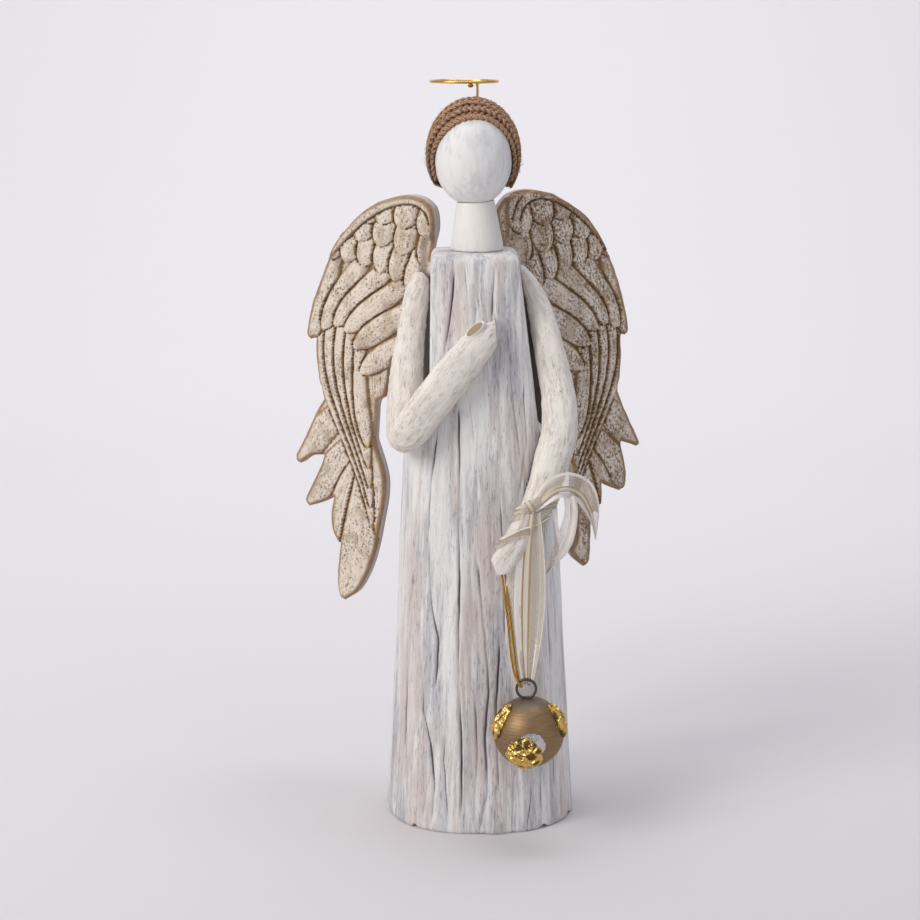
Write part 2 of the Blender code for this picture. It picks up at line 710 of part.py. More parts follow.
def wing_point(side, u, v, w):
    """Return the place of a wing's u, v and w: out along the sweep, up, and to the front."""
    z = ROBE_HEIGHT + v
    x = SPINE_X + side * (u * math.cos(WING_SWEEP) + w * math.sin(WING_SWEEP))
    y = wing_plane_y(z) + u * math.sin(WING_SWEEP) - w * math.cos(WING_SWEEP)
    return np.stack([x, y, z], axis=-1)


# Each wing's outline in u and v, in runs that are smooth inside and meet at tips and notches. It
# starts where the root comes out from behind the robe and ends under the wing.
WING_OUTLINES = {
    -1.0: (
        ((31.5, -9.5), (29.5, 1.5)),
        ((29.5, 1.5), (27.5, 9.5), (27.5, 17.5), (30, 25), (38, 30.5), (50, 31.5), (66.5, 27)),
        ((66.5, 27), (80, 19), (90, 9), (98.5, -2), (102.5, -10.5)),
        ((102.5, -10.5), (108, -23.5), (115.5, -42), (119.5, -59), (119.3, -63.5), (117, -66)),
        ((117, -66), (113.6, -65.5), (113.5, -76), (112, -94.5), (109.5, -107)),
        ((109.5, -107), (116, -117.5), (123, -133.5), (130, -146.5), (129.5, -150.5), (126.5, -152)),
        ((126.5, -152), (118.5, -146.5), (110, -145.5)),
        ((110, -145.5), (111.5, -152), (119, -167.5), (123.5, -177), (120.5, -181.5)),
        ((120.5, -181.5), (110, -178), (102.5, -174)),
        ((102.5, -174), (104.5, -186), (103.5, -197), (98.5, -206)),
        ((98.5, -206), (100, -217), (101.2, -234), (99.5, -243), (94.5, -245.5)),
        ((94.5, -245.5), (84.5, -237.5), (75, -218.5), (68.5, -193), (64, -161), (72, -132)),
        ((72, -132), (71, -117.5), (69.5, -106), (63, -101), (59.5, -86), (57, -76)),
        ((57, -76), (50, -96), (32, -115.5)),
    ),
    1.0: (
        ((18.5, 1.5), (15.5, 13), (15, 23), (23, 32.5), (36.5, 35.5), (51, 33)),
        ((51, 33), (63.5, 26), (76.5, 16.5), (88, 0.5), (98, -20), (105, -42.5), (108, -58), (106.5, -62.5)),
        ((106.5, -62.5), (102.8, -63.5), (103.5, -76), (103, -99), (103.5, -102.5)),
        ((103.5, -102.5), (112, -123), (118.5, -136.5), (116.5, -139.5)),
        ((116.5, -139.5), (111.5, -137.5), (105.5, -135.5)),
        ((105.5, -135.5), (108, -150), (109, -157), (108.5, -166), (105.5, -170)),
        ((105.5, -170), (96, -166), (91, -162.5)),
        ((91, -162.5), (91.2, -175), (90, -184.5)),
        ((90, -184.5), (86.5, -182.5), (83.5, -184.5)),
        ((83.5, -184.5), (83, -200), (82.5, -215.5), (79.5, -221)),
        ((79.5, -221), (72, -214.5), (69, -209.5)),
        ((69, -209.5), (73.5, -199.5), (73.5, -170), (75.5, -144), (66, -122)),
        ((66, -122), (62, -100), (50, -96), (32, -115.5)),
    ),
}
ROOT_TAB = ((0.0, -115.5), (0.0, -5.5), (14.0, -4.5))

# Each fan of feathers: count, half width, edge height, shaft height, and the centreline of its
# first, middle and last feather as four Bezier points in u and v
FANS = (
    (1, 10.5, 0.2, 3.0, ((88, -108.5), (102, -117.5), (117, -133.5), (129.0, -152.0)), None, None),
    (1, 11.0, 0.3, 3.2, ((80, -130.5), (95, -142.5), (110, -160.5), (122.0, -183.0)), None, None),
    (1, 12.0, 0.4, 3.3, ((78, -146.5), (90, -162.5), (98, -184.5), (100.5, -208.5)), None, None),
    (1, 14.0, 0.5, 3.6, ((75, -152.5), (81, -178.5), (85, -216.5), (94.5, -250.0)), None, None),
    (1, 7.6, 0.6, 3.6, ((86, -118.5), (73, -140.5), (66, -166.5), (69.5, -200.5)), None, None),
    (
        5,
        6.2,
        0.7,
        4.0,
        ((106, -44.5), (126, -94.5), (76, -132.5), (73.5, -194.5)),
        None,
        ((80, -58.5), (85, -96.5), (80, -118.5), (76.0, -138.5)),
    ),
    (1, 6.6, 0.8, 3.8, ((66, -62.5), (66, -80.5), (68, -94.5), (68.0, -109.0)), None, None),
    (
        6,
        8.8,
        1.0,
        4.6,
        ((97, -2.5), (104, -22.5), (112, -44.5), (118.0, -69.0)),
        ((52, -18.5), (66, -30.5), (82, -43.5), (95.5, -57.5)),
        ((42, -62.5), (54, -67.5), (68, -76.5), (81.0, -87.5)),
    ),
    (
        6,
        8.4,
        1.4,
        5.2,
        ((94, 12.5), (97, 4.5), (100, -3.5), (102.5, -12.5)),
        ((64, 9.5), (68, 1.5), (70, -7.5), (72.0, -17.5)),
        ((32, 5.5), (37, -7.5), (41, -18.5), (46.0, -31.5)),
    ),
    (
        5,
        8.8,
        1.8,
        5.8,
        ((84, 23.5), (88, 16.5), (91, 9.5), (93.0, 1.5)),
        ((58, 24.5), (61, 15.5), (64, 6.5), (66.0, -2.5)),
        ((29, 16.5), (30, 6.5), (32, -4.5), (34.5, -14.5)),
    ),
    (
        4,
        9.2,
        2.2,
        6.2,
        ((68, 31.5), (72, 25.5), (75, 19.5), (77.0, 12.5)),
        ((50, 34.5), (53, 26.5), (56, 18.5), (57.5, 11.5)),
        ((29, 28.5), (30, 20.5), (32, 12.5), (33.5, 4.5)),
    ),
    (1, 4.2, 2.4, 6.4, ((28, 13.5), (30, 38.5), (72, 35.5), (101, -10.5)), None, None),
)


def fan_feathers(fan):
    """Yield each feather of a fan: its Bezier points between the first, middle and last."""
    count, half_width, edge, shaft, first, middle, last = fan
    first = np.array(first, dtype=float)
    if count == 1:
        yield first, half_width, edge, shaft
        return
    last = np.array(last, dtype=float)
    middle = 0.5 * (first + last) if middle is None else np.array(middle, dtype=float)
    for t in np.linspace(0.0, 1.0, count):
        bezier = first * (1 - t) * (1 - 2 * t) + middle * 4 * t * (1 - t) + last * t * (2 * t - 1)
        yield bezier, half_width, edge, shaft


def bezier_path(points, t):
    """Return the curve's places and its unit normals at the shares t of its length."""
    t = t[:, None]
    a, b, c, d = points
    place = a * (1 - t) ** 3 + 3 * b * t * (1 - t) ** 2 + 3 * c * t**2 * (1 - t) + d * t**3
    slope = 3 * (b - a) * (1 - t) ** 2 + 6 * (c - b) * t * (1 - t) + 3 * (d - c) * t**2
    slope = unit(slope)
    return place, np.column_stack([-slope[:, 1], slope[:, 0]])


def feather_width(t):
    """Return a feather's width along its length: it swells slowly and narrows to a blunt tip."""
    body = 0.72 + 0.28 * np.sin(np.clip(t / 0.7, 0.0, 1.0) * math.pi / 2.0)
    tip = np.sqrt(np.clip(1.0 - np.maximum((t - TIP_SHARE) / (1.0 - TIP_SHARE), 0.0) ** 2, 0.0, 1.0))
    return body * tip


def wing_outline(side, step):
    """Return the wing's outline as even steps along each of its smooth runs."""
    outline = [np.array([(wing_root() + u, v) for u, v in ROOT_TAB])]
    for run in WING_OUTLINES[side]:
        length = np.linalg.norm(np.diff(run, axis=0), axis=1).sum()
        outline.append(smooth_path(run, max(3, round(length / step) + 1))[:-1])
    return np.vstack([*outline, WING_OUTLINES[side][-1][-1:]])


def wing_feathers(side):
    """Return every feather of a wing: its centreline, normals, half widths and two heights."""
    feathers = []
    t = np.linspace(0.0, 1.0, CENTRELINE_POINTS)
    for fan in FANS:
        for bezier, half_width, edge, shaft in fan_feathers(fan):
            place, normal = bezier_path(wing_shape(side, bezier), t)
            feathers.append((place, normal, half_width * feather_width(t), edge, shaft))
    return feathers


def carving_start(side, v):
    """Return the u beside the robe where the carving starts."""
    left, right = robe_flats(ROBE_HEIGHT + np.minimum(v, 0.0))
    flat = left + SPINE_X if side < 0 else right - SPINE_X
    return flat / math.cos(WING_SWEEP) + ROBE_CLEARANCE


def wing_relief(side, spots, feathers):
    """Return how far the front stands out at each spot, and the number of its top feather.

    A spot lies on a feather where it is nearer to the centreline than the half width. Across
    that width the feather is domed from its edge height to its shaft height."""
    height = np.zeros(len(spots))
    top = np.full(len(spots), -1)
    for number, (place, normal, reach, edge, shaft) in enumerate(feathers):
        offset = spots[:, None, :] - place[None, :, :]
        near = np.argmin((offset**2).sum(axis=-1), axis=1)
        offset = offset[np.arange(len(spots)), near]
        across = (offset * normal[near]).sum(axis=1) / np.maximum(reach[near], TINY)
        along = offset[:, 0] * normal[near][:, 1] - offset[:, 1] * normal[near][:, 0]
        beyond = ((near == 0) & (along < -0.5)) | ((near == len(place) - 1) & (along > 0.5))
        inside = (np.abs(across) < 1.0) & ~beyond
        dome = edge + (shaft - edge) * (1.0 - np.abs(across) ** 1.7)
        height = np.where(inside, dome, height)
        top = np.where(inside, number, top)
    beside = (spots[:, 0] - carving_start(side, spots[:, 1])) / RELIEF_EASE
    above = (spots[:, 1] - ROBE_CLEARANCE) / RELIEF_EASE
    return height * smooth_step(np.maximum(beside, above)), top


def inside_outline(spots, outline):
    """Return which spots lie inside an outline, and their distances to it."""
    start = outline
    end = np.roll(outline, -1, axis=0)
    edge = end - start
    offset = spots[:, None, :] - start
    share = np.clip((offset * edge).sum(axis=-1) / (edge**2).sum(axis=-1), 0.0, 1.0)
    distance = np.linalg.norm(offset - share[..., None] * edge, axis=-1).min(axis=1)
    level = spots[:, 1:2]
    spans = (start[:, 1] <= level) != (end[:, 1] <= level)
    rise = np.where(np.abs(edge[:, 1]) < TINY, TINY, edge[:, 1])
    crossing = start[:, 0] + (level - start[:, 1]) * edge[:, 0] / rise
    inside = (spans & (crossing > spots[:, 0:1])).sum(axis=1) % 2 == 1
    return inside, distance


def carving_lines(side, outline, feathers):
    """Return the inner spots of a wing's front, and the links that join them in lines.

    The first line is bare and runs beside the robe. The others follow the shaft and both edges
    of each feather, wherever no other feather covers them and no kept spot is near."""
    bare = np.arange(ROOT_TAB[2][1] - CARVING_STEP, ROOT_TAB[0][1] + SPOT_GAP, -CARVING_STEP)
    kept = np.column_stack([carving_start(side, bare), bare])
    kept = kept[inside_outline(kept, outline)[0]]
    links = []
    for number in reversed(range(len(feathers))):
        place, normal, reach, _, _ = feathers[number]
        length = np.linalg.norm(np.diff(place, axis=0), axis=1).sum()
        count = max(3, round(length / CARVING_STEP))
        picks = np.linspace(0.12, 1.0, count) * (len(place) - 1)
        picks = np.minimum(picks.astype(int), len(place) - 2)
        for across in (EDGE_SHARE, -EDGE_SHARE, 0.0):
            spots = place[picks] + normal[picks] * (across * reach[picks])[:, None]
            _, top = wing_relief(side, spots, feathers)
            inside, distance = inside_outline(spots, outline)
            last = None
            for spot, seen in zip(spots, (top == number) & inside & (distance > SPOT_GAP)):
                if not seen or np.linalg.norm(kept - spot, axis=1).min() < SPOT_GAP:
                    last = None
                    continue
                if last is not None:
                    links.append((last, len(kept)))
                last = len(kept)
                kept = np.vstack([kept, spot])
    return kept, links


def triangulate(outline, spots, links):
    """Return the places and the triangles over an outline with linked spots inside it."""
    points = np.vstack([outline, spots])
    count = len(outline)
    edges = [(i, (i + 1) % count) for i in range(count)]
    edges += [(count + a, count + b) for a, b in links]
    made = delaunay_2d_cdt([Vector(spot) for spot in points], edges, [tuple(range(count))], 1, TINY)
    places = np.array(made[0])
    assert np.allclose(places[: len(points)], points, atol=TINY * FAR)
    return places, [tuple(face) for face in made[2]]


def wing_skin(side):
    """Return the wing: a plate cut to the outline, its front carved with feathers."""
    outline = wing_outline(side, OUTLINE_STEP)
    feathers = wing_feathers(side)
    flat, front = triangulate(outline, *carving_lines(side, outline, feathers))
    _, behind = triangulate(outline, np.empty((0, 2)), [])
    height, _ = wing_relief(side, flat, feathers)
    count = len(outline)
    vertices = list(wing_point(side, flat[:, 0], flat[:, 1], height))
    vertices += list(wing_point(side, outline[:, 0], outline[:, 1], np.full(count, -WING_THICKNESS)))
    base = len(flat)
    faces = front + [tuple(base + i for i in reversed(face)) for face in behind]
    for i in range(count):
        k = (i + 1) % count
        faces.append((i, base + i, base + k, k))
    return vertices, faces


def bell_centre():
    """Return the bell's middle: the ball just touches the robe's front."""
    reach = BASE_HALF_DEPTH + BELL_RADIUS
    for _ in range(12):
        angle = math.asin((BELL_X - robe_centre_x(BELL_Z)) / reach)
        low = BELL_Z - BELL_TOUCH_SHARE * BELL_RADIUS
        reach = float(robe_body(np.array([angle]), low)[0]) + BELL_RADIUS + BELL_REST_GAP
    return np.array([BELL_X, -reach * math.cos(angle), BELL_Z])


def ring_centre():
    """Return the middle of the wire ring, sunk in the bell's crown."""
    centre = bell_centre()
    return np.array([RING_X, centre[1], centre[2] + BELL_RADIUS - RING_SINK + RING_RADIUS + RING_WIRE])


def leaf_skin(direction, spread, seed):
    """Return a leaf of gold: a thin cap on the ball, its edge torn unevenly."""
    centre = bell_centre()
    axis = unit(np.array(direction, dtype=float))
    across = unit(np.cross(axis, np.array([0.0, 0.0, 1.0])))
    upward = np.cross(across, axis)
    random = np.random.default_rng(seed)
    sides = 12
    ragged = 1.0 + random.uniform(-0.09, 0.09, sides)
    turn = np.arange(sides) * 2.0 * math.pi / sides
    inner = BELL_RADIUS + LEAF_GAP
    outer = inner + LEAF_THICKNESS
    rings = []
    for radius, share in ((inner, 0.5), (inner, 1.0), (outer, 0.94), (outer, 0.5)):
        polar = spread * share * ragged
        ray = np.cos(polar)[:, None] * axis
        ray = ray + (np.sin(polar) * np.cos(turn))[:, None] * across
        ray = ray + (np.sin(polar) * np.sin(turn))[:, None] * upward
        rings.append(centre + radius * ray)
    vertices, faces = loft(np.array(rings))
    vertices[-2] = centre + inner * axis
    vertices[-1] = centre + outer * axis
    return vertices, faces


def make_bell(finish, wire_finish, leaf_finish):
    """Make the ball, the wire ring through its crown, and its leaf of gold."""
    bell = make("bell", egg(bell_centre(), np.full(3, BELL_RADIUS), 2.0, 0.0, 18, 10), finish)
    channel = guide("bell_ring_cutter", torus(ring_centre(), RING_RADIUS, RING_WIRE + 1.2 * GAP, True, 16, 8))
    combine(bell, [channel], "DIFFERENCE")
    make("bell_ring", torus(ring_centre(), RING_RADIUS, RING_WIRE, True, 16, 6), wire_finish)
    for seed, (name, (direction, spread)) in enumerate(LEAF_DISCS.items()):
        make(name, leaf_skin(direction, spread, seed), leaf_finish, 50.0)


def strip_rings(rows, facing):
    """Return a flat strip's four-cornered rings from rows of x, y and z from the wrist and
    half width."""
    path = smooth_path(rows, len(rows) + 3)
    spots = WRIST + path[:, :3]
    along = unit(np.gradient(spots, axis=0))
    across = unit(np.cross(along, facing))
    outward = np.cross(across, along)
    corners = []
    for x, y in ((-1.0, -0.5), (1.0, -0.5), (1.0, 0.5), (-1.0, 0.5)):
        corners.append(spots + across * (x * path[:, 3])[:, None] + outward * y * RIBBON_THICKNESS)
    return np.stack(corners, axis=1)


def wrist_band():
    """Return the band round the wrist: a grown stretch of the arm."""
    rings = right_arm_rings(GAP + WRAP_LAYER, 61)
    heights = rings[..., 2].mean(axis=1)
    chosen = rings[(heights < WRAP_TOP) & (heights > WRAP_BOTTOM)]
    return loft(chosen[::3])


def drop_rings():
    """Return the doubled ribbon that falls from the wrist to just inside the bell's ring."""
    ring = ring_centre()
    start_y = KNOT[1] - DROP_FORWARD
    inside = ring[2] + RING_RADIUS - RING_WIRE - GAP - DROP_END_THICKNESS
    wide = RING_WIRE + GAP + DROP_END_THICKNESS
    rows = [(WRIST[0] + x, WRIST[2] + z, half, thick) for x, z, half, thick in DROP]
    rows.append((ring[0], ring[2] + RING_RADIUS + 3.0, DROP_END_HALF_WIDTH, wide))
    rows.append((ring[0], inside, DROP_END_HALF_WIDTH * 0.8, wide))
    rings = []
    top = rows[0][1]
    for x, z, half, thick in rows:
        y = start_y + (ring[1] - start_y) * (top - z) / (top - inside)
        corners = ((-half, -thick), (half, -thick), (half, thick), (-half, thick))
        rings.append([(x + a, y + b, z) for a, b in corners])
    return np.array(rings)


def make_ribbon(finish):
    """Make the sheer ribbon as one plain solid: band, knot, tails and drop."""
    ribbon = make("ribbon", wrist_band(), finish)
    parts = [
        guide("ribbon_knot", egg(KNOT, np.array(KNOT_HALF), 2.0, 0.0, 10, 6)),
        guide("ribbon_long_tail", loft(strip_rings(LONG_TAIL, FRONT))),
        guide("ribbon_short_tail", loft(strip_rings(SHORT_TAIL, FRONT))),
        guide("ribbon_drop", loft(drop_rings())),
    ]
    combine(ribbon, parts, "UNION")
    cutters = [
        guide("ribbon_arm_cutter", loft(right_arm_rings(1.3 * GAP, RIGHT_ARM_STATIONS))),
        guide("ribbon_ring_cutter", torus(ring_centre(), RING_RADIUS, RING_WIRE + 1.2 * GAP, True, 16, 8)),
    ]
    combine(ribbon, cutters, "DIFFERENCE")


def cord_route():
    """Return the gold cord's route: down from the hand, round the ring's wire, and back up."""
    ring = ring_centre()
    side = math.cos(CORD_RING_ANGLE)
    rise = math.sin(CORD_RING_ANGLE)
    wire = ring + np.array([-side * RING_RADIUS, 0.0, rise * RING_RADIUS])
    down = WRIST + np.array(CORD_FALL)
    strand = np.array([CORD_SPREAD, 0.0, 0.0])
    clear = RING_WIRE + CORD_RADIUS + 2.0 * GAP
    front = wire + np.array([0.5, -clear - 0.6, 0.8])
    inside = wire + np.array([side * clear + 0.2, -0.5 * clear, -rise * clear - 0.3])
    mirror = np.array([1.0, -1.0, 1.0])
    turn = [front, inside, ring + (inside - ring) * mirror, ring + (front - ring) * mirror]
    rows = list(down - strand) + turn + list((down + strand)[::-1])
    return smooth_path(rows, CORD_POINTS)


def make_cord(finish):
    """Make the gold cord, one run of cord in a plain round tube."""
    path = cord_route()
    curve = bpy.data.curves.new("gold_cord", "CURVE")
    curve.dimensions = "3D"
    curve.bevel_depth = CORD_RADIUS * MM
    curve.bevel_resolution = 2
    curve.use_fill_caps = True
    spline = curve.splines.new("POLY")
    spline.points.add(len(path) - 1)
    for point, spot in zip(spline.points, path):
        point.co = (*(float(c) * MM for c in spot), 1.0)
    curve.materials.append(finish)
    made = bpy.data.objects.new("gold_cord", curve)
    bpy.context.scene.collection.objects.link(made)


def main():
    for old in list(bpy.data.objects):
        bpy.data.objects.remove(old, do_unlink=True)
    whitewash = material("whitewashed_wood", (0.80, 0.78, 0.78), 0.75, 0.0)
    white = material("white_paint", (0.88, 0.88, 0.87), 0.7, 0.0)
    cream = material("cream_wood", (0.83, 0.79, 0.72), 0.75, 0.0)
    gilt = material("gilded_brown_wood", (0.42, 0.33, 0.22), 0.6, 0.1)
    jute = material("jute_braid", (0.42, 0.27, 0.17), 0.9, 0.0)
    gold = material("gold_wire", (0.90, 0.65, 0.15), 0.3, 1.0)
    bronze = material("bronze_ball", (0.55, 0.36, 0.22), 0.4, 0.9)
    dark = material("dark_wire", (0.20, 0.18, 0.16), 0.4, 0.9)
    leaf = material("gold_leaf", (0.85, 0.62, 0.15), 0.35, 1.0)
    sheer = material("sheer_ribbon", (0.90, 0.87, 0.78), 0.5, 0.0)
    cord = material("gold_cord", (0.75, 0.48, 0.08), 0.45, 0.4)
    make_robe(whitewash)
    make_head_and_neck(white)
    make_hair(jute)
    make_halo(gold)
    make_left_arm(cream)
    make_right_arm(cream)
    make("wing_left", wing_skin(-1.0), gilt, 30.0)
    make("wing_right", wing_skin(1.0), gilt, 30.0)
    make_bell(bronze, dark, leaf)
    make_ribbon(sheer)
    make_cord(cord)


main()
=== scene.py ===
"""Wooden angel statue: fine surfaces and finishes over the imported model.

Every piece is worked out in millimetres in the model's own frame (+Z up, front facing -Y, origin
under the robe) and is written to its mesh in metres. Left and right are the viewer's.
"""

import math

import bpy
import numpy as np
from bpy.props import FloatProperty, FloatVectorProperty, IntProperty, PointerProperty
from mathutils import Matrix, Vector
from mathutils.geometry import delaunay_2d_cdt


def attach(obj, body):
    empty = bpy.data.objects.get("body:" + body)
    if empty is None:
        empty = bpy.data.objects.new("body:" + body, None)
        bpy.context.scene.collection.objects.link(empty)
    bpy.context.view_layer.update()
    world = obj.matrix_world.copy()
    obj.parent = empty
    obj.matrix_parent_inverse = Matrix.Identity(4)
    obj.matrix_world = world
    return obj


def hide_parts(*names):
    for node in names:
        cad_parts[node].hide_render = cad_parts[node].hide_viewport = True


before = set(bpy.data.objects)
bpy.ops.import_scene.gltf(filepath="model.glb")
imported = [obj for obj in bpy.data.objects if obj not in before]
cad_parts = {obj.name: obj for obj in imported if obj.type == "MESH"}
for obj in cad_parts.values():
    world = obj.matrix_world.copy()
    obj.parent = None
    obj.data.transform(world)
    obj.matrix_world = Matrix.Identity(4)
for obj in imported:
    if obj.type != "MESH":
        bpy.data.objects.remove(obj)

bl_info = {
    "name": "Wooden angel statue",
    "version": (1, 0, 0),
    "blender": (4, 5, 0),
    "location": "View3D > Sidebar > Statue",
    "description": "Makes a whitewashed wooden angel with carved wings, braided hair and a bell",
    "category": "Object",
}

MM = 0.001
TURN = 2.0 * math.pi
TINY = 1e-6
FAR = 1000.0
GAP = 0.3
FRONT = np.array([0.0, -1.0, 0.0])
UP = np.array([0.0, 0.0, 1.0])

# The robe, a log that tapers and leans a little to the left
ROBE_HEIGHT = 366.5
BASE_HALF = (60.9, 60.0)
TOP_HALF = (41.3, 30.0)
LOG_POWER = 2.3
TOP_LEAN = -4.0
TOP_ROUNDING = 6.5
SHOULDER_FLATS = (32.0, 23.9)
RIGHT_FLAT_SLOPE = 0.118
FLAT_LENGTH = 110.5
FLAT_EASE = 24.0
SEAT_LENGTH = 119.5
ROBE_COLUMNS = 700
ROBE_ROWS = 128

# The wings' plane
WING_SWEEP = math.radians(22.0)
WING_LEAN = 0.05
SPINE = (-3.0, 24.0)
WING_THICKNESS = 6.5
WING_TOP = 31.5
WING_DROP = 278.0
RIGHT_WING_TOP = 35.5
RIGHT_WING_DROP = 257.0
RIGHT_WING_SAG = 40.0
RIGHT_WING_REACH = 0.93
OUTLINE_STEP = 1.0
WING_GRID = 0.95
TIP_SHARE = 0.6
ROBE_CLEARANCE = 2.0
RELIEF_EASE = 5.0

# The head and neck
NECK_LENGTH = 37.5
NECK_X = (-2.4, -3.6)
NECK_RADIUS = (16.6, 10.5)
HEAD_HALF = np.array([24.8, 26.0, 32.1])
HEAD_CENTRE = np.array([-4.8, 0.0, 426.6])
HEAD_POWER = 2.15
HAIR_POLE_DROP = 18.0

# The halo
HALO_RADIUS = 21.2
HALO_HEIGHT = 471.2
WIRE_RADIUS = 0.9
STEM = (-2.6, 0.0)
HALO_OFFSET_X = -8.0

# Grooves in the robe's front, as places of x and z; the first list is deep, the second fine
DEEP_GROOVES = (
    ((-14, 273), (-14, 227), (-14, 153), (-14, 93), (-12, 58), (-13, 10)),
    ((-17, 358), (-20, 329), (-23, 306)),
    ((-3, 176), (3, 129), (5, 93), (3, 64), (4, 28), (-1, 1)),
    ((-33, 187), (-33, 169), (-32, 145), (-28, 123), (-29, 92)),
    ((-43, 164), (-48, 129), (-47, 94), (-49, 57), (-47, 17)),
    ((-39, 120), (-37, 76), (-32, 56), (-30, 32), (-32, 5)),
    ((-28, 257), (-31, 226), (-34, 190)),
    ((8, 357), (7, 327)),
    ((12, 125), (10, 87), (11, 30)),
    ((38.5, 262), (37, 248), (31.5, 229), (27, 213)),
)
FINE_GROOVES = (
    ((-28, 356), (-29, 350)),
    ((-11, 363), (-9, 345), (-7, 326)),
    ((-3, 346), (0, 329)),
    ((-1, 346), (4, 326)),
    ((19, 332), (23, 315)),
    ((5, 286), (7, 267)),
    ((-14, 153), (-20, 126)),
    ((-8, 275), (-4, 250)),
    ((33, 32), (30, 0)),
    ((52, 40), (53, 2)),
    ((-54, 117), (-57, 76), (-58, 23)),
    ((12, 214), (14, 176), (15, 125)),
    ((43, 147), (46, 82), (48, 25)),
    ((22, 38), (20, 0)),
    ((-21, 86), (-24, 47), (-21, 9)),
    ((-4, 87), (-2, 48), (-5, 4)),
    ((-44, 255), (-46, 222), (-49, 183)),
    ((15, 326), (19, 289), (25, 245)),
    ((27, 288), (29, 250), (24, 216)),
    ((38, 60), (40, 8)),
)

# The arms, from the shoulder down: rows of how far a place lies out from the shoulder flat, y,
# the drop below the robe's top, half width and half depth. The rows without a y rest on the chest.
LEFT_UPPER_ARM = (
    (5.6, 1.0, 14.0, 2.6, 3.4),
    (6.6, 0.0, 18.0, 5.6, 6.6),
    (8.2, -1.5, 26.5, 7.9, 8.4),
    (11.0, -7.0, 44.5, 8.6, 9.2),
    (13.4, -14.0, 61.5, 9.6, 9.8),
    (15.3, -22.0, 79.5, 10.7, 10.4),
    (16.4, -29.0, 98.5, 11.2, 10.8),
    (16.4, -33.5, 113.5, 10.6, 10.2),
    (15.6, -34.5, 121.0, 7.4, 7.2),
    (15.2, -34.6, 124.0, 3.0, 3.0),
)
LEFT_FOREARM = (
    (20.2, 116.7, 3.2, 3.2),
    (16.9, 113.3, 9.0, 7.4),
    (11.0, 107.0, 11.4, 9.4),
    (2.5, 95.0, 12.0, 9.4),
    (-14.8, 72.9, 12.3, 9.0),
    (-28.5, 56.0, 10.8, 8.2),
    (-38.0, 46.0, 9.6, 7.2),
    (-48.0, 35.0, 9.0, 6.4),
)
LEFT_HAND_CUTS = (
    ((9.2, -48.0, 326.4), (-0.28, 0.0, 1.0)),
    ((9.0, -48.0, 320.0), (1.0, 0.0, 0.08)),
    ((9.6, -48.0, 312.0), (0.86, 0.0, -0.5)),
)
ELBOW_Y = -36.5
CHEST_EDGE = 6.0
THUMB_CUT = (-4.3, -48.5, 322.6)
THUMB_CUT_ALONG = (0.76, 0.0, 0.65)
THUMB_CUT_FACING = (-0.30, -0.84, 0.45)
THUMB_CUT_HALF = (6.4, 2.5)
RIGHT_ARM = (
    (1.8, 1.0, 9.5, 1.6, 2.6),
    (3.2, 0.0, 13.5, 3.4, 5.4),
    (6.8, -2.0, 21.0, 5.4, 7.2),
    (10.8, -4.0, 30.0, 6.9, 8.0),
    (14.9, -8.0, 43.0, 8.6, 8.8),
    (19.0, -14.0, 61.5, 9.7, 9.6),
    (22.5, -20.0, 77.5, 10.5, 10.4),
    (25.1, -27.0, 94.5, 11.2, 10.8),
    (24.9, -34.5, 111.5, 11.4, 11.2),
    (20.5, -42.5, 126.5, 11.4, 11.0),
    (16.1, -49.5, 140.0, 10.4, 10.2),
    (9.5, -56.0, 155.5, 9.2, 9.2),
    (2.1, -61.0, 168.0, 8.6, 8.2),
    (-5.3, -64.5, 179.5, 8.2, 7.0),
    (-10.7, -66.0, 187.5, 7.8, 6.2),
    (-17.0, -67.5, 197.5, 7.4, 5.8),
)
RIGHT_HAND_CUTS = (
    ((16.0, -66.0, 172.6), (0.1, -0.15, -1.0)),
    ((5.9, -66.0, 181.0), (-1.0, -0.1, -0.42)),
)
PLANED_LENGTH = 50.5
WRIST = np.array([33.4, -56.0, 211.0])

# The bell and its ring
BELL_CENTRE = np.array([29.8, -72.8, 72.7])
BELL_RADIUS = 22.2
RING_CENTRE = np.array([28.0, -74.3, 100.9])
RING_RADIUS = 6.0
RING_WIRE = 0.85

# The gold cord, which repeats the solid's route: down from the hand, round the ring, back up
CORD_RADIUS = 0.75
CORD_SPREAD = 0.95
CORD_RING_ANGLE = math.radians(31.0)
CORD_FALL = ((-19.5, -9.5, -40.0), (-17.8, -12.2, -54.0), (-15.5, -15.0, -73.0), (-12.8, -17.6, -97.0))

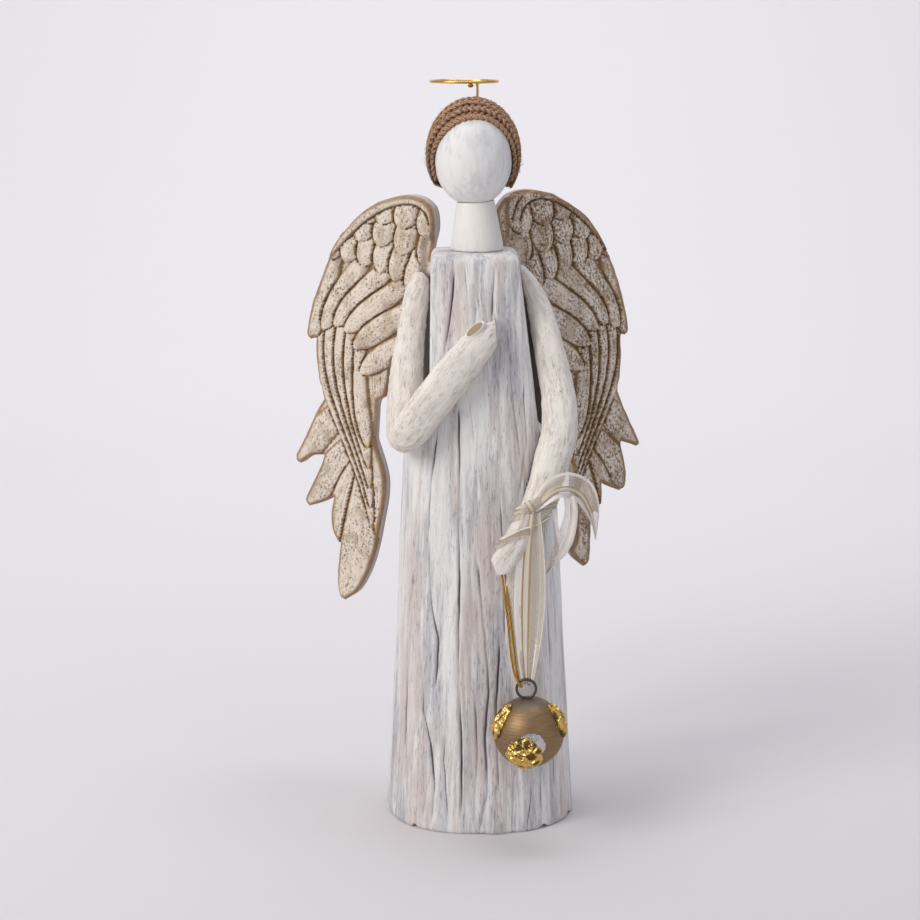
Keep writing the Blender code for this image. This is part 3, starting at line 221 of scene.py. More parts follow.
# The wings: u runs outward from the spine, v is the height above the robe's top, and w stands
# out of the front.
# Each wing's outline in u and v, in runs that are smooth inside and meet at tips and notches. It
# starts where the root comes out from behind the robe and ends under the wing.
WING_OUTLINES = {
    -1.0: (
        ((31.5, -9.5), (29.5, 1.5)),
        ((29.5, 1.5), (27.5, 9.5), (27.5, 17.5), (30, 25), (38, 30.5), (50, 31.5), (66.5, 27)),
        ((66.5, 27), (80, 19), (90, 9), (98.5, -2), (102.5, -10.5)),
        ((102.5, -10.5), (108, -23.5), (115.5, -42), (119.5, -59), (119.3, -63.5), (117, -66)),
        ((117, -66), (113.6, -65.5), (113.5, -76), (112, -94.5), (109.5, -107)),
        ((109.5, -107), (116, -117.5), (123, -133.5), (130, -146.5), (129.5, -150.5), (126.5, -152)),
        ((126.5, -152), (118.5, -146.5), (110, -145.5)),
        ((110, -145.5), (111.5, -152), (119, -167.5), (123.5, -177), (120.5, -181.5)),
        ((120.5, -181.5), (110, -178), (102.5, -174)),
        ((102.5, -174), (104.5, -186), (103.5, -197), (98.5, -206)),
        ((98.5, -206), (100, -217), (101.2, -234), (99.5, -243), (94.5, -245.5)),
        ((94.5, -245.5), (84.5, -237.5), (75, -218.5), (68.5, -193), (64, -161), (72, -132)),
        ((72, -132), (71, -117.5), (69.5, -106), (63, -101), (59.5, -86), (57, -76)),
        ((57, -76), (50, -96), (32, -115.5)),
    ),
    1.0: (
        ((18.5, 1.5), (15.5, 13), (15, 23), (23, 32.5), (36.5, 35.5), (51, 33)),
        ((51, 33), (63.5, 26), (76.5, 16.5), (88, 0.5), (98, -20), (105, -42.5), (108, -58), (106.5, -62.5)),
        ((106.5, -62.5), (102.8, -63.5), (103.5, -76), (103, -99), (103.5, -102.5)),
        ((103.5, -102.5), (112, -123), (118.5, -136.5), (116.5, -139.5)),
        ((116.5, -139.5), (111.5, -137.5), (105.5, -135.5)),
        ((105.5, -135.5), (108, -150), (109, -157), (108.5, -166), (105.5, -170)),
        ((105.5, -170), (96, -166), (91, -162.5)),
        ((91, -162.5), (91.2, -175), (90, -184.5)),
        ((90, -184.5), (86.5, -182.5), (83.5, -184.5)),
        ((83.5, -184.5), (83, -200), (82.5, -215.5), (79.5, -221)),
        ((79.5, -221), (72, -214.5), (69, -209.5)),
        ((69, -209.5), (72, -199.5), (71, -170), (68.5, -148), (60, -136), (54, -124)),
        ((54, -124), (48, -126), (40, -127), (32, -123)),
    ),
}
ROOT_TAB = ((0.0, -115.5), (0.0, -5.5), (14.0, -4.5))

# Each fan of feathers: count, half width, edge height, shaft height, and the centreline of its
# first, middle and last feather as four Bezier points in u and v
FANS = (
    (1, 10.5, 0.2, 3.0, ((88, -108.5), (102, -117.5), (117, -133.5), (129.0, -152.0)), None, None),
    (1, 11.0, 0.3, 3.2, ((80, -130.5), (95, -142.5), (110, -160.5), (122.0, -183.0)), None, None),
    (1, 12.0, 0.4, 3.3, ((78, -146.5), (90, -162.5), (98, -184.5), (100.5, -208.5)), None, None),
    (1, 14.0, 0.5, 3.6, ((75, -152.5), (81, -178.5), (85, -216.5), (94.5, -250.0)), None, None),
    (1, 7.6, 0.6, 3.6, ((86, -118.5), (73, -140.5), (66, -166.5), (69.5, -200.5)), None, None),
    (
        5,
        6.2,
        0.7,
        4.0,
        ((106, -44.5), (126, -94.5), (76, -132.5), (73.5, -194.5)),
        None,
        ((80, -58.5), (85, -96.5), (80, -118.5), (76.0, -138.5)),
    ),
    (1, 6.6, 0.8, 3.8, ((66, -62.5), (66, -80.5), (68, -94.5), (68.0, -109.0)), None, None),
    (
        6,
        8.8,
        1.0,
        4.6,
        ((97, -2.5), (104, -22.5), (112, -44.5), (118.0, -69.0)),
        ((52, -18.5), (66, -30.5), (82, -43.5), (95.5, -57.5)),
        ((42, -62.5), (54, -67.5), (68, -76.5), (81.0, -87.5)),
    ),
    (
        6,
        8.4,
        1.4,
        5.2,
        ((94, 12.5), (97, 4.5), (100, -3.5), (102.5, -12.5)),
        ((64, 9.5), (68, 1.5), (70, -7.5), (72.0, -17.5)),
        ((32, 5.5), (37, -7.5), (41, -18.5), (46.0, -31.5)),
    ),
    (
        5,
        8.8,
        1.8,
        5.8,
        ((84, 23.5), (88, 16.5), (91, 9.5), (93.0, 1.5)),
        ((58, 24.5), (61, 15.5), (64, 6.5), (66.0, -2.5)),
        ((29, 16.5), (30, 6.5), (32, -4.5), (34.5, -14.5)),
    ),
    (
        4,
        9.2,
        2.2,
        6.2,
        ((68, 31.5), (72, 25.5), (75, 19.5), (77.0, 12.5)),
        ((50, 34.5), (53, 26.5), (56, 18.5), (57.5, 11.5)),
        ((29, 28.5), (30, 20.5), (32, 12.5), (33.5, 4.5)),
    ),
    (1, 4.2, 2.4, 6.4, ((28, 13.5), (30, 38.5), (72, 35.5), (101, -10.5)), None, None),
)

# The ribbon's tails, from the wrist: rows of x, y, z and half width
LONG_TAIL = (
    (-4.5, -11.5, 2.0, 3.0),
    (2.6, -12.0, 8.0, 4.6),
    (10.6, -10.5, 15.2, 6.6),
    (20.6, -6.0, 16.6, 8.0),
    (29.8, -0.5, 11.0, 7.6),
    (35.2, 3.0, 0.0, 5.0),
    (37.4, 4.0, -10.5, 2.0),
    (38.0, 4.0, -20.0, 0.3),
)
SHORT_TAIL = (
    (21.0, -5.0, 9.0, 3.6),
    (22.2, -4.2, -1.0, 4.2),
    (19.6, -3.4, -15.0, 5.2),
    (15.6, -3.0, -25.0, 4.8),
    (11.0, -2.7, -33.0, 2.4),
    (7.0, -2.5, -40.5, 0.3),
)
LOOP_EDGE = (
    (11.6, -6.5, 1.5, 1.5),
    (13.0, -6.0, -8.0, 1.1),
    (14.4, -5.2, -16.0, 1.1),
    (15.0, -4.6, -22.0, 0.5),
)


def tint(red, green, blue):
    """Return a linear colour from its usual 0 to 255 values."""
    share = np.array([red, green, blue]) / 255.0
    linear = np.where(share <= 0.04045, share / 12.92, ((share + 0.055) / 1.055) ** 2.4)
    return tuple(float(value) for value in linear)


# Sizes and colours that a user may change


def colour(name, description, default):
    """Return a colour property in linear values."""
    return FloatVectorProperty(
        name=name, description=description, subtype="COLOR", default=default, min=0.0, max=1.0
    )


def length(name, description, default):
    """Return a length property in metres."""
    return FloatProperty(name=name, description=description, unit="LENGTH", precision=5, default=default)


class WoodSettings(bpy.types.PropertyGroup):
    groove_depth: length("Groove depth", "How deep the robe's main grooves are", 0.0021)
    panel_relief: length("Panel relief", "How far the hewn panels between grooves rise", 0.0008)
    whitewash: colour("Whitewash", "The robe's white", tint(231, 229, 228))
    blue_glaze: colour("Blue glaze", "The cool glaze in the robe's grain", tint(188, 187, 192))
    pink_glaze: colour("Pink glaze", "The warm glaze in the robe's grain", tint(209, 197, 191))
    dark_marks: colour("Crack", "The dark lines in the robe's grooves", tint(96, 85, 90))
    paint: colour("Paint", "The head's and neck's white", tint(233, 233, 232))
    cream: colour("Cream", "The arms' cream white", tint(233, 227, 219))
    strokes: colour("Strokes", "The brown grain strokes on the arms", tint(152, 137, 122))
    end_grain: colour("End grain", "The cut wood of the thumb", tint(160, 142, 106))


class WingSettings(bpy.types.PropertyGroup):
    cream: colour("Cream wash", "The wings' wash", tint(234, 222, 208))
    brown: colour("Brown", "The wings' wood", tint(126, 99, 72))
    dark: colour("Dark", "The specks and shadows", tint(70, 52, 38))
    outline: colour("Outline", "The golden brown along the feathers' outlines", tint(150, 118, 76))
    gold: colour("Gold rub", "The gold on the ridges", tint(206, 168, 96))
    edge: colour("Edge", "The pale sawn edge", tint(206, 201, 204))


class HairSettings(bpy.types.PropertyGroup):
    braids: IntProperty(name="Braids", description="How many braids run over the head", default=17, min=6, max=26)
    strand: length("Strand", "Half the thickness of a strand", 0.00112)
    fibres: IntProperty(name="Fibres", description="How many loose fibres stand out", default=620, min=0, max=900)
    jute: colour("Jute", "The strands' tan", tint(190, 150, 118))
    # The dark end of the jute's colours, used also for the painted shade in the braids' creases and gaps.
    shade: colour("Shade", "The strands' reddish brown", tint(70, 43, 29))


class MetalSettings(bpy.types.PropertyGroup):
    gold: colour("Gold", "The halo's wire", tint(230, 186, 104))
    leaf: colour("Leaf", "The bell's leaf of gold", tint(224, 188, 112))
    bronze: colour("Bronze", "The bell's paint", tint(154, 125, 92))
    cap: colour("Cap", "The bell's grey crown", tint(128, 116, 102))
    wire: colour("Wire", "The bell's ring", tint(96, 92, 86))
    cord: colour("Cord", "The gold cord", tint(206, 152, 34))


class RibbonSettings(bpy.types.PropertyGroup):
    width: length("Width", "The ribbon's cut width", 0.025)
    sheer: colour("Sheer", "The thin cloth", tint(222, 212, 200))
    satin: colour("Satin", "The edges", tint(240, 234, 228))
    gold: colour("Gold thread", "The two metal threads", tint(178, 156, 84))


class StageSettings(bpy.types.PropertyGroup):
    backdrop: colour("Backdrop", "The pale wall", tint(233, 230, 230))
    # The floor's colour is the backdrop's pale colour darkened: painted shade that is darkest at the front and fades
    # into the wall.
    floor: colour("Floor", "The pale floor", tint(209, 205, 206))
    key: FloatProperty(name="Key light", description="Power of the front left light", unit="POWER", default=21.0)
    fill: FloatProperty(name="Fill light", description="Power of the front right light", unit="POWER", default=3.2)
    wall: FloatProperty(name="Wall light", description="Power of the light on the wall", unit="POWER", default=30.0)
    world: FloatProperty(name="Ambient", description="Strength of the even light", default=0.45)


# Shaders as expressions


class Value:
    """A socket of a finish, with Python's arithmetic: each operation adds its Math node."""

    def __init__(self, finish, socket):
        self.finish = finish
        self.socket = socket

    def math(self, operation, *others):
        """Add a Math node on this value and the others, in that order."""
        values = dict(enumerate((self, *others)))
        return self.finish.node("ShaderNodeMath", {"operation": operation}, values)

    def flipped(self, operation, other):
        """Add a Math node with the other value first."""
        return self.finish.node("ShaderNodeMath", {"operation": operation}, {0: other, 1: self})

    def __add__(self, other):
        return self.math("ADD", other)

    def __sub__(self, other):
        return self.math("SUBTRACT", other)

    def __mul__(self, other):
        return self.math("MULTIPLY", other)

    def __pow__(self, other):
        return self.math("POWER", other)

    def __radd__(self, other):
        return self.flipped("ADD", other)

    def __rsub__(self, other):
        return self.flipped("SUBTRACT", other)

    def __rmul__(self, other):
        return self.flipped("MULTIPLY", other)


class Finish:
    """A procedural finish: a Principled material whose nodes are added by expressions."""

    def __init__(self, name, roughness=0.7, metallic=0.0):
        self.material = bpy.data.materials.new(name)
        self.material.use_nodes = True
        self.tree = self.material.node_tree
        self.shader = self.tree.nodes["Principled BSDF"]
        self.set("Roughness", roughness)
        self.set("Metallic", metallic)

    def plug(self, socket, value):
        """Link a value to a socket, or set the socket to plain numbers."""
        if isinstance(value, Value):
            self.tree.links.new(value.socket, socket)
        elif isinstance(value, tuple) and len(value) == 3 and socket.type == "RGBA":
            socket.default_value = (*value, 1.0)
        else:
            socket.default_value = value

    def set(self, socket, value):
        """Set or link one of the shader's own sockets."""
        self.plug(self.shader.inputs[socket], value)

    def node(self, kind, settings=None, values=None, output=0):
        """Add a node: its settings first, then its sockets' values or links."""
        made = self.tree.nodes.new(kind)
        for key, setting in (settings or {}).items():
            if key == "stops":
                self.stops(made.color_ramp, setting)
            else:
                setattr(made, key, setting)
        for key, value in (values or {}).items():
            self.plug(made.inputs[key], value)
        return Value(self, made.outputs[output])

    @staticmethod
    def stops(ramp, stops):
        """Set a ramp's stops from pairs of position and colour."""
        while len(ramp.elements) < len(stops):
            ramp.elements.new(1.0)
        for element, (position, shade) in zip(ramp.elements, stops):
            element.position = position
            element.color = (*shade, 1.0)

    def place(self, stretch=(1.0, 1.0, 1.0), turn=(0.0, 0.0, 0.0)):
        """Return the object's own coordinates, turned and then stretched along each axis."""
        spot = self.node("ShaderNodeTexCoord", output=3)
        values = {"Vector": spot, "Rotation": turn, "Scale": stretch}
        return self.node("ShaderNodeMapping", {"vector_type": "POINT"}, values)

    def noise(self, size, spot, detail=3.0, roughness=0.55, distortion=0.0):
        """Return a noise from 0 to 1 whose features are about size metres wide."""
        values = {
            "Vector": spot,
            "Scale": 1.0 / size,
            "Detail": detail,
            "Roughness": roughness,
            "Distortion": distortion,
        }
        return self.node("ShaderNodeTexNoise", None, values)

    def mark(self, name):
        """Return a number that the mesh keeps at each point."""
        return self.node("ShaderNodeAttribute", {"attribute_name": name}, output=2)

    def step(self, value, low, high):
        """Ease from 0 to 1 as the value goes from low to high."""
        values = {"Value": value, "From Min": low, "From Max": high}
        return self.node("ShaderNodeMapRange", {"interpolation_type": "SMOOTHSTEP"}, values)

    def mix(self, share, low, high):
        """Return the colour between low and high."""
        values = {0: share, 6: low, 7: high}
        return self.node("ShaderNodeMix", {"data_type": "RGBA"}, values, 2)

    def bump(self, height, depth, strength=1.0, below=None):
        """Return a normal from a height of 0 to 1 that stands for depth metres."""
        values = {"Height": height, "Distance": depth, "Strength": strength}
        if below is not None:
            values["Normal"] = below
        return self.node("ShaderNodeBump", None, values)


# Surfaces as whole arrays


def unit(vectors):
    """Return the vectors at length one."""
    return vectors / np.maximum(np.linalg.norm(vectors, axis=-1, keepdims=True), TINY)


def smooth_step(value):
    """Ease from 0 to 1 as the value goes from 0 to 1: 3t^2 - 2t^3."""
    t = np.clip(value, 0.0, 1.0)
    return t * t * (3.0 - 2.0 * t)


def ripple(points, size, seed, waves=7):
    """Return a seeded noise of about -1 to 1: the mean of sine waves in random directions, each
    about size long."""
    random = np.random.default_rng(seed)
    ways = unit(random.normal(size=(waves, 3))) / (size * random.uniform(0.7, 1.4, (waves, 1)))
    phase = random.uniform(0.0, TURN, waves)
    return 1.7 * np.sin(TURN * points @ ways.T + phase).mean(axis=-1)


def smooth_rows(rows, spots):
    """Return rows of numbers at the shares spots of a Catmull-Rom curve through the given rows."""
    rows = np.asarray(rows, dtype=float)
    padded = np.vstack([2.0 * rows[0] - rows[1], rows, 2.0 * rows[-1] - rows[-2]])
    spots = np.asarray(spots) * (len(rows) - 1.0)
    i = np.minimum(spots.astype(int), len(rows) - 2)
    t = (spots - i)[:, None]
    a, b, c, d = padded[i], padded[i + 1], padded[i + 2], padded[i + 3]
    cubic = (3.0 * b - a - 3.0 * c + d) * t**3
    return 0.5 * (2.0 * b + (c - a) * t + (2.0 * a - 5.0 * b + 4.0 * c - d) * t**2 + cubic)


def end_heavy(count, share=0.5):
    """Return count shares from 0 to 1 that crowd towards both ends: a blend of even steps and a
    cosine's."""
    t = np.linspace(0.0, 1.0, count)
    return (1.0 - share) * t + share * 0.5 * (1.0 - np.cos(math.pi * t))


def lengths(path):
    """Return the distance along a path at each of its points."""
    steps = np.linalg.norm(np.diff(path, axis=0), axis=1)
    return np.concatenate([[0.0], np.cumsum(steps)])


def dome(path, start, end):
    """Return a share that closes a tube in a quarter circle over the given lengths at its ends."""
    along = lengths(path)
    back = along[-1] - along
    share = np.ones(len(path))
    for reach, span in ((along, start), (back, end)):
        if span > 0.0:
            share *= np.sqrt(np.clip(1.0 - (1.0 - np.minimum(reach / span, 1.0)) ** 2, 0.0, 1.0))
    return share


def tube_rings(path, half_widths, half_depths, facing, sides, power=2.0, start_turn=0.0):
    """Return rings along a path: a superellipse of the given power, its width across both the
    path and facing."""
    along = unit(np.gradient(path, axis=0))
    across = unit(np.cross(along, facing))
    outward = np.cross(across, along)
    turn = start_turn + np.arange(sides) * TURN / sides
    bow = 2.0 / power
    x = np.sign(np.cos(turn)) * np.abs(np.cos(turn)) ** bow
    y = np.sign(np.sin(turn)) * np.abs(np.sin(turn)) ** bow
    half_widths = np.broadcast_to(half_widths, len(path))
    half_depths = np.broadcast_to(half_depths, len(path))
    sideways = across[:, None, :] * (half_widths[:, None] * x)[..., None]
    return path[:, None, :] + sideways + outward[:, None, :] * (half_depths[:, None] * y)[..., None]


def grid_quads(rows, columns, wrap):
    """Return the quads of a grid of points; wrap joins its last column to its first."""
    i = np.arange(rows - 1)[:, None] * columns
    j = np.arange(columns if wrap else columns - 1)[None, :]
    k = (j + 1) % columns
    return np.stack([i + j, i + k, i + columns + k, i + columns + j], axis=-1).reshape(-1, 4)


def closed_skin(rings, marks=None):
    """Return a closed skin over rings of points, with a fan of triangles over each end. marks are
    numbers at each point of the rings. A skin that is inside out is turned."""
    rows, sides, _ = rings.shape
    points = np.vstack([rings.reshape(-1, 3), rings[0].mean(axis=0), rings[-1].mean(axis=0)])
    quads = grid_quads(rows, sides, True)
    low = rows * sides
    j = np.arange(sides)
    k = (j + 1) % sides
    last = (rows - 1) * sides
    fans = np.vstack(
        [
            np.column_stack([np.full(sides, low), k, j]),
            np.column_stack([np.full(sides, low + 1), last + j, last + k]),
        ]
    )
    kept = {}
    for name, values in (marks or {}).items():
        values = np.broadcast_to(values, (rows, sides))
        kept[name] = np.concatenate([values.ravel(), [values[0].mean(), values[-1].mean()]])
    centred = points - points.mean(axis=0)
    a, b, c, d = (centred[quads[:, n]] for n in range(4))
    volume = (np.cross(a, b) * c).sum() + (np.cross(a, c) * d).sum()
    e, f, g = (centred[fans[:, n]] for n in range(3))
    volume += (np.cross(e, f) * g).sum()
    if volume < 0.0:
        quads = quads[:, ::-1]
        fans = fans[:, ::-1]
    return {"points": points, "quads": quads, "fans": fans, "marks": kept}


def open_sheet(grid, marks=None):
    """Return a sheet over a grid of points, with numbers at each point."""
    rows, columns, _ = grid.shape
    kept = {name: np.broadcast_to(values, (rows, columns)).ravel() for name, values in (marks or {}).items()}
    quads = grid_quads(rows, columns, False)
    return {"points": grid.reshape(-1, 3), "quads": quads, "fans": np.zeros((0, 3), int), "marks": kept}


def make_piece(name, skins, finishes, stands_for=(), sharp=50.0, which=None):
    """Make one mesh of several skins in millimetres, in metres, and tie it to the model.

    which is the number of the finish for each skin, or None for the first finish all over."""
    points = np.vstack([skin["points"] for skin in skins]) * MM
    offset = 0
    corners = []
    totals = []
    shades = []
    for number, skin in enumerate(skins):
        for faces in (skin["quads"], skin["fans"]):
            corners.append((faces + offset).ravel())
            totals.append(np.full(len(faces), faces.shape[1]))
            shades.append(np.full(len(faces), which[number] if which else 0))
        offset += len(skin["points"])
    corners = np.concatenate(corners).astype(np.int32)
    totals = np.concatenate(totals)
    mesh = bpy.data.meshes.new(name)
    mesh.vertices.add(len(points))
    mesh.vertices.foreach_set("co", points.ravel().astype(np.float32))
    mesh.loops.add(len(corners))
    mesh.loops.foreach_set("vertex_index", corners)
    mesh.polygons.add(len(totals))
    starts = np.concatenate([[0], np.cumsum(totals)[:-1]]).astype(np.int32)
    mesh.polygons.foreach_set("loop_start", starts)
    mesh.update(calc_edges=True)
    mesh.validate()
    for finish in finishes:
        mesh.materials.append(finish.material)
    mesh.polygons.foreach_set("material_index", np.concatenate(shades).astype(np.int32))
    for mark in sorted({key for skin in skins for key in skin["marks"]}):
        values = [skin["marks"].get(mark, np.zeros(len(skin["points"]))) for skin in skins]
        layer = mesh.attributes.new(mark, "FLOAT", "POINT")
        layer.data.foreach_set("value", np.concatenate(values).astype(np.float32))
    mesh.shade_smooth()
    mesh.set_sharp_from_angle(angle=math.radians(sharp))
    made = bpy.data.objects.new(name, mesh)
    bpy.context.scene.collection.objects.link(made)
    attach(made, "root")
    if stands_for:
        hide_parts(*stands_for)
    return made


# The robe


def wing_plane_y(z):
    """Return the spine's y on the wings' front plane: it leans back by a share of the drop."""
    return SPINE[1] + WING_LEAN * (ROBE_HEIGHT - z)


def robe_centre_x(z):
    """Return the middle of the robe at a height: the lean times the height's share squared."""
    return TOP_LEAN * (z / ROBE_HEIGHT) ** 2


def robe_radius(angle, z):
    """Return the robe's radius at an angle from the front and a height.

    The log is a superellipse in plan whose halves shrink evenly with the height. The radius is
    the least of that, the two shoulder flats and the two wing seats."""
    sine = np.sin(angle)
    cosine = np.cos(angle)
    share = z / ROBE_HEIGHT
    width = BASE_HALF[0] + (TOP_HALF[0] - BASE_HALF[0]) * share
    depth = BASE_HALF[1] + (TOP_HALF[1] - BASE_HALF[1]) * share
    inverse = np.abs(sine / width) ** LOG_POWER + np.abs(cosine / depth) ** LOG_POWER
    radius = inverse ** (-1.0 / LOG_POWER)
    planed = smooth_step((z - ROBE_HEIGHT + FLAT_LENGTH + FLAT_EASE) / FLAT_EASE)
    slope = RIGHT_FLAT_SLOPE * (ROBE_HEIGHT - TOP_ROUNDING - z)
    left = BASE_HALF[0] + (SHOULDER_FLATS[0] - BASE_HALF[0]) * planed
    right = BASE_HALF[0] + (SHOULDER_FLATS[1] + slope - BASE_HALF[0]) * planed
    middle = robe_centre_x(z)
    to_left = np.where(sine < -TINY, (left + middle) / np.maximum(-sine, TINY), FAR)
    to_right = np.where(sine > TINY, (right - middle) / np.maximum(sine, TINY), FAR)
    radius = np.minimum(radius, np.minimum(to_left, to_right))
    seat_y = wing_plane_y(z) - GAP / math.cos(WING_SWEEP)
    tangent = math.tan(WING_SWEEP)
    seat = np.full_like(radius, -FAR)
    for side in (-1.0, 1.0):
        lean = -cosine - tangent * side * sine
        reach = seat_y + tangent * side * (middle - SPINE[0])
        seat = np.maximum(seat, np.where(lean > TINY, reach / np.maximum(lean, TINY), FAR))
    return np.where(z > ROBE_HEIGHT - SEAT_LENGTH, np.minimum(radius, seat), radius)


def robe_front(x, z):
    """Return the robe's front y at x and z, by walking the radius inward."""
    offset = x - robe_centre_x(z)
    distance = np.full_like(offset, BASE_HALF[1])
    for _ in range(12):
        angle = np.arctan2(offset, distance)
        distance = robe_radius(angle, z) * np.cos(angle)
    return -distance


def groove_cut(x, y, z, stretch, route, width, front):
    """Return how deep one groove cuts: a bell curve of the distance to its route, which fades in
    and out at its ends and waves a little."""
    route = np.array(route, dtype=float)[::-1]
    low = route[0, 1]
    high = route[-1, 1]
    wave = 0.25 * np.sin(z / 11.0 + route[0, 0]) + 0.12 * np.sin(z / 3.1 + 2.0 * route[0, 0])
    middle = np.interp(z, route[:, 1], route[:, 0]) + wave
    distance = (x - middle) / stretch
    fade = smooth_step((z - low + 6.0) / 14.0) * smooth_step((high + 5.0 - z) / 16.0)
    facing = np.where(front * y < 0.0, 1.0, 0.0)
    swell = 0.75 + 0.25 * np.sin(z / 17.0 + 3.0 * route[0, 0])
    return facing * fade * swell * np.exp(-((distance / width) ** 2))


def back_grooves():
    """Return seeded routes for the robe's back, in the manner of the front's."""
    random = np.random.default_rng(5)
    routes = []
    for _ in range(24):
        low = random.uniform(0.0, 210.0)
        span = random.uniform(60.0, 190.0)
        start = random.uniform(-54.0, 54.0)
        high = min(low + span, ROBE_HEIGHT - 30.0)
        lean = start * (1.0 - 0.28 * (high - low) / ROBE_HEIGHT)
        middle = 0.5 * (start + lean) + random.uniform(-2.5, 2.5)
        routes.append(((lean, high), (middle, 0.5 * (low + high)), (start, low)))
    return routes


def robe_skin(settings):
    """Return the robe: its radius over angle and height, less the grooves, with hewn panels that
    rise between them and a scalloped foot."""
    angles = np.arange(ROBE_COLUMNS) * TURN / ROBE_COLUMNS
    shoulder = ROBE_HEIGHT - TOP_ROUNDING
    rounding = np.radians(np.linspace(10.0, 90.0, 8))
    foot = 3.0 * (1.0 - np.cos(np.linspace(0.0, 0.5 * math.pi, 6)))
    climb = np.linspace(foot[-1], shoulder, ROBE_ROWS - len(foot) - len(rounding) + 1)[1:]
    heights = np.concatenate([foot, climb, shoulder + TOP_ROUNDING * np.sin(rounding)])
    inward = np.zeros(len(heights))
    inward[-len(rounding) :] = TOP_ROUNDING * (1.0 - np.cos(rounding))
    inward[: len(foot)] = 1.6 * (1.0 - np.sqrt(np.clip(1.0 - (1.0 - foot / foot[-1]) ** 2, 0.0, 1.0)))
    angle, z = np.meshgrid(angles, heights)
    middle = robe_centre_x(z)
    radius = robe_radius(angle, z) - inward[:, None]
    x = middle + radius * np.sin(angle)
    y = -radius * np.cos(angle)
    points = np.stack([x, y, z], axis=-1)
    width = np.linalg.norm(np.gradient(points, axis=1), axis=-1)
    stretch = np.clip(np.abs(np.gradient(x, axis=1)) / width, 0.12, 1.0)
    deep = np.zeros_like(x)
    for route in DEEP_GROOVES:
        deep = np.maximum(deep, groove_cut(x, y, z, stretch, route, 0.85, 1.0))
    fine = np.zeros_like(x)
    for route in FINE_GROOVES:
        fine = np.maximum(fine, groove_cut(x, y, z, stretch, route, 0.65, 1.0))
    for route in back_grooves():
        deep = np.maximum(deep, 0.8 * groove_cut(x, y, z, stretch, route, 1.0, -1.0))
    depth = settings.groove_depth / MM
    squeezed = points * np.array([1.0, 1.0, 0.05])
    panels = settings.panel_relief / MM * (ripple(squeezed, 17.0, 3) - 0.6 * np.abs(ripple(squeezed, 11.0, 4)))
    chatter = 0.13 * ripple(points * np.array([1.0, 1.0, 0.05]), 4.2, 8)
    calm = smooth_step((ROBE_HEIGHT - z) / 9.0) * 0.8 + 0.2
    change = (panels + chatter) * calm - depth * (deep + 0.45 * fine)
    seat = (z > ROBE_HEIGHT - SEAT_LENGTH) & (np.cos(angle) < -0.3)
    change = np.where(seat, np.minimum(change, 0.0) * 0.3, change)
    radius = radius + change
    scallop = np.exp(-((ripple(np.stack([x, y, 0.0 * z], axis=-1), 30.0, 12) / 0.16) ** 2))
    nick = np.maximum(scallop * 2.2, 2.2 * np.maximum(deep[0], fine[0])[None, :])
    lift = nick * np.clip(1.0 - z / 16.0, 0.0, 1.0) ** 2
    rings = np.stack([middle + radius * np.sin(angle), -radius * np.cos(angle), z + lift], axis=-1)
    marks = {"groove": np.clip(deep + 0.8 * fine, 0.0, 1.0), "height": z / ROBE_HEIGHT}
    return closed_skin(rings, marks)


def whitewashed_wood(settings):
    """The robe's finish: panels of cool and warm whitewash, brushed dry along the grain, with fine
    dark scratches, painted shade in grey along the grooves, and dark lines along the grooves' floors."""
    wood = Finish("whitewashed_wood", 0.74)
    streaks = wood.noise(0.0030, wood.place((1.0, 1.0, 0.030)), 6.0, 0.68, 0.3)
    panels = wood.noise(0.014, wood.place((1.0, 1.0, 0.12)), 2.0, 0.5, 0.3)
    cloudy = wood.noise(0.024, wood.place((1.0, 1.0, 0.24), (0.0, 0.0, 1.1)), 3.0)
    fibres = wood.noise(0.0009, wood.place((1.0, 1.0, 0.050)), 4.0, 0.65, 0.2)
    brushed = wood.noise(0.0016, wood.place((1.0, 1.0, 0.14)), 5.0, 0.70, 0.3)
    cool = wood.step(streaks * 0.6 + panels * 0.6, 0.52, 0.70)
    base = wood.mix(cool, settings.whitewash[:], settings.blue_glaze[:])
    warm = wood.step(cloudy * 0.8 + streaks * 0.35, 0.54, 0.70)
    base = wood.mix(warm * 0.85, base, settings.pink_glaze[:])
    base = wood.mix(wood.step(brushed, 0.50, 0.66) * 0.30, base, settings.blue_glaze[:])
    dashes = wood.noise(0.0010, wood.place((1.0, 1.0, 0.11)), 3.0, 0.6, 0.2)
    worn = wood.step(dashes + panels * 0.35, 0.74, 0.86)
    base = wood.mix(worn * 0.45, base, settings.dark_marks[:])
    lines = wood.step(fibres, 0.56, 0.70) * wood.step(streaks, 0.40, 0.60)
    base = wood.mix(lines * 0.42, base, settings.dark_marks[:])
    groove = wood.mark("groove")
    broken = wood.noise(0.006, wood.place((1.0, 1.0, 0.2)), 3.0)
    # Painted shade: the grooves are greyed along their width.
    base = wood.mix(wood.step(groove, 0.10, 0.55) * 0.50, base, settings.blue_glaze[:])
    dark = wood.step(groove + (broken - 0.5) * 0.9, 0.35, 0.80)
    base = wood.mix(dark * 0.92, base, settings.dark_marks[:])
    wood.set("Base Color", base)
    rough = wood.bump(streaks * 0.5 + fibres * 0.6, 0.0006, 0.6)
    wood.set("Normal", wood.bump(brushed, 0.0003, 0.4, rough))
    return wood


# The head and neck


def egg_rings(half, grow, columns, rows):
    """Return level rings of the head's egg: round in plan, a soft square from the side."""
    polar = np.linspace(0.0, math.pi, rows + 2)[1:-1]
    lift = -np.cos(polar)
    reach = (1.0 - np.abs(lift) ** HEAD_POWER) ** (1.0 / HEAD_POWER)
    turn = np.arange(columns) * TURN / columns
    x = (half[0] + grow) * reach[:, None] * np.cos(turn)
    y = (half[1] + grow) * reach[:, None] * np.sin(turn)
    z = np.broadcast_to(((half[2] + grow) * lift)[:, None], x.shape)
    return HEAD_CENTRE + np.stack([x, y, z], axis=-1)


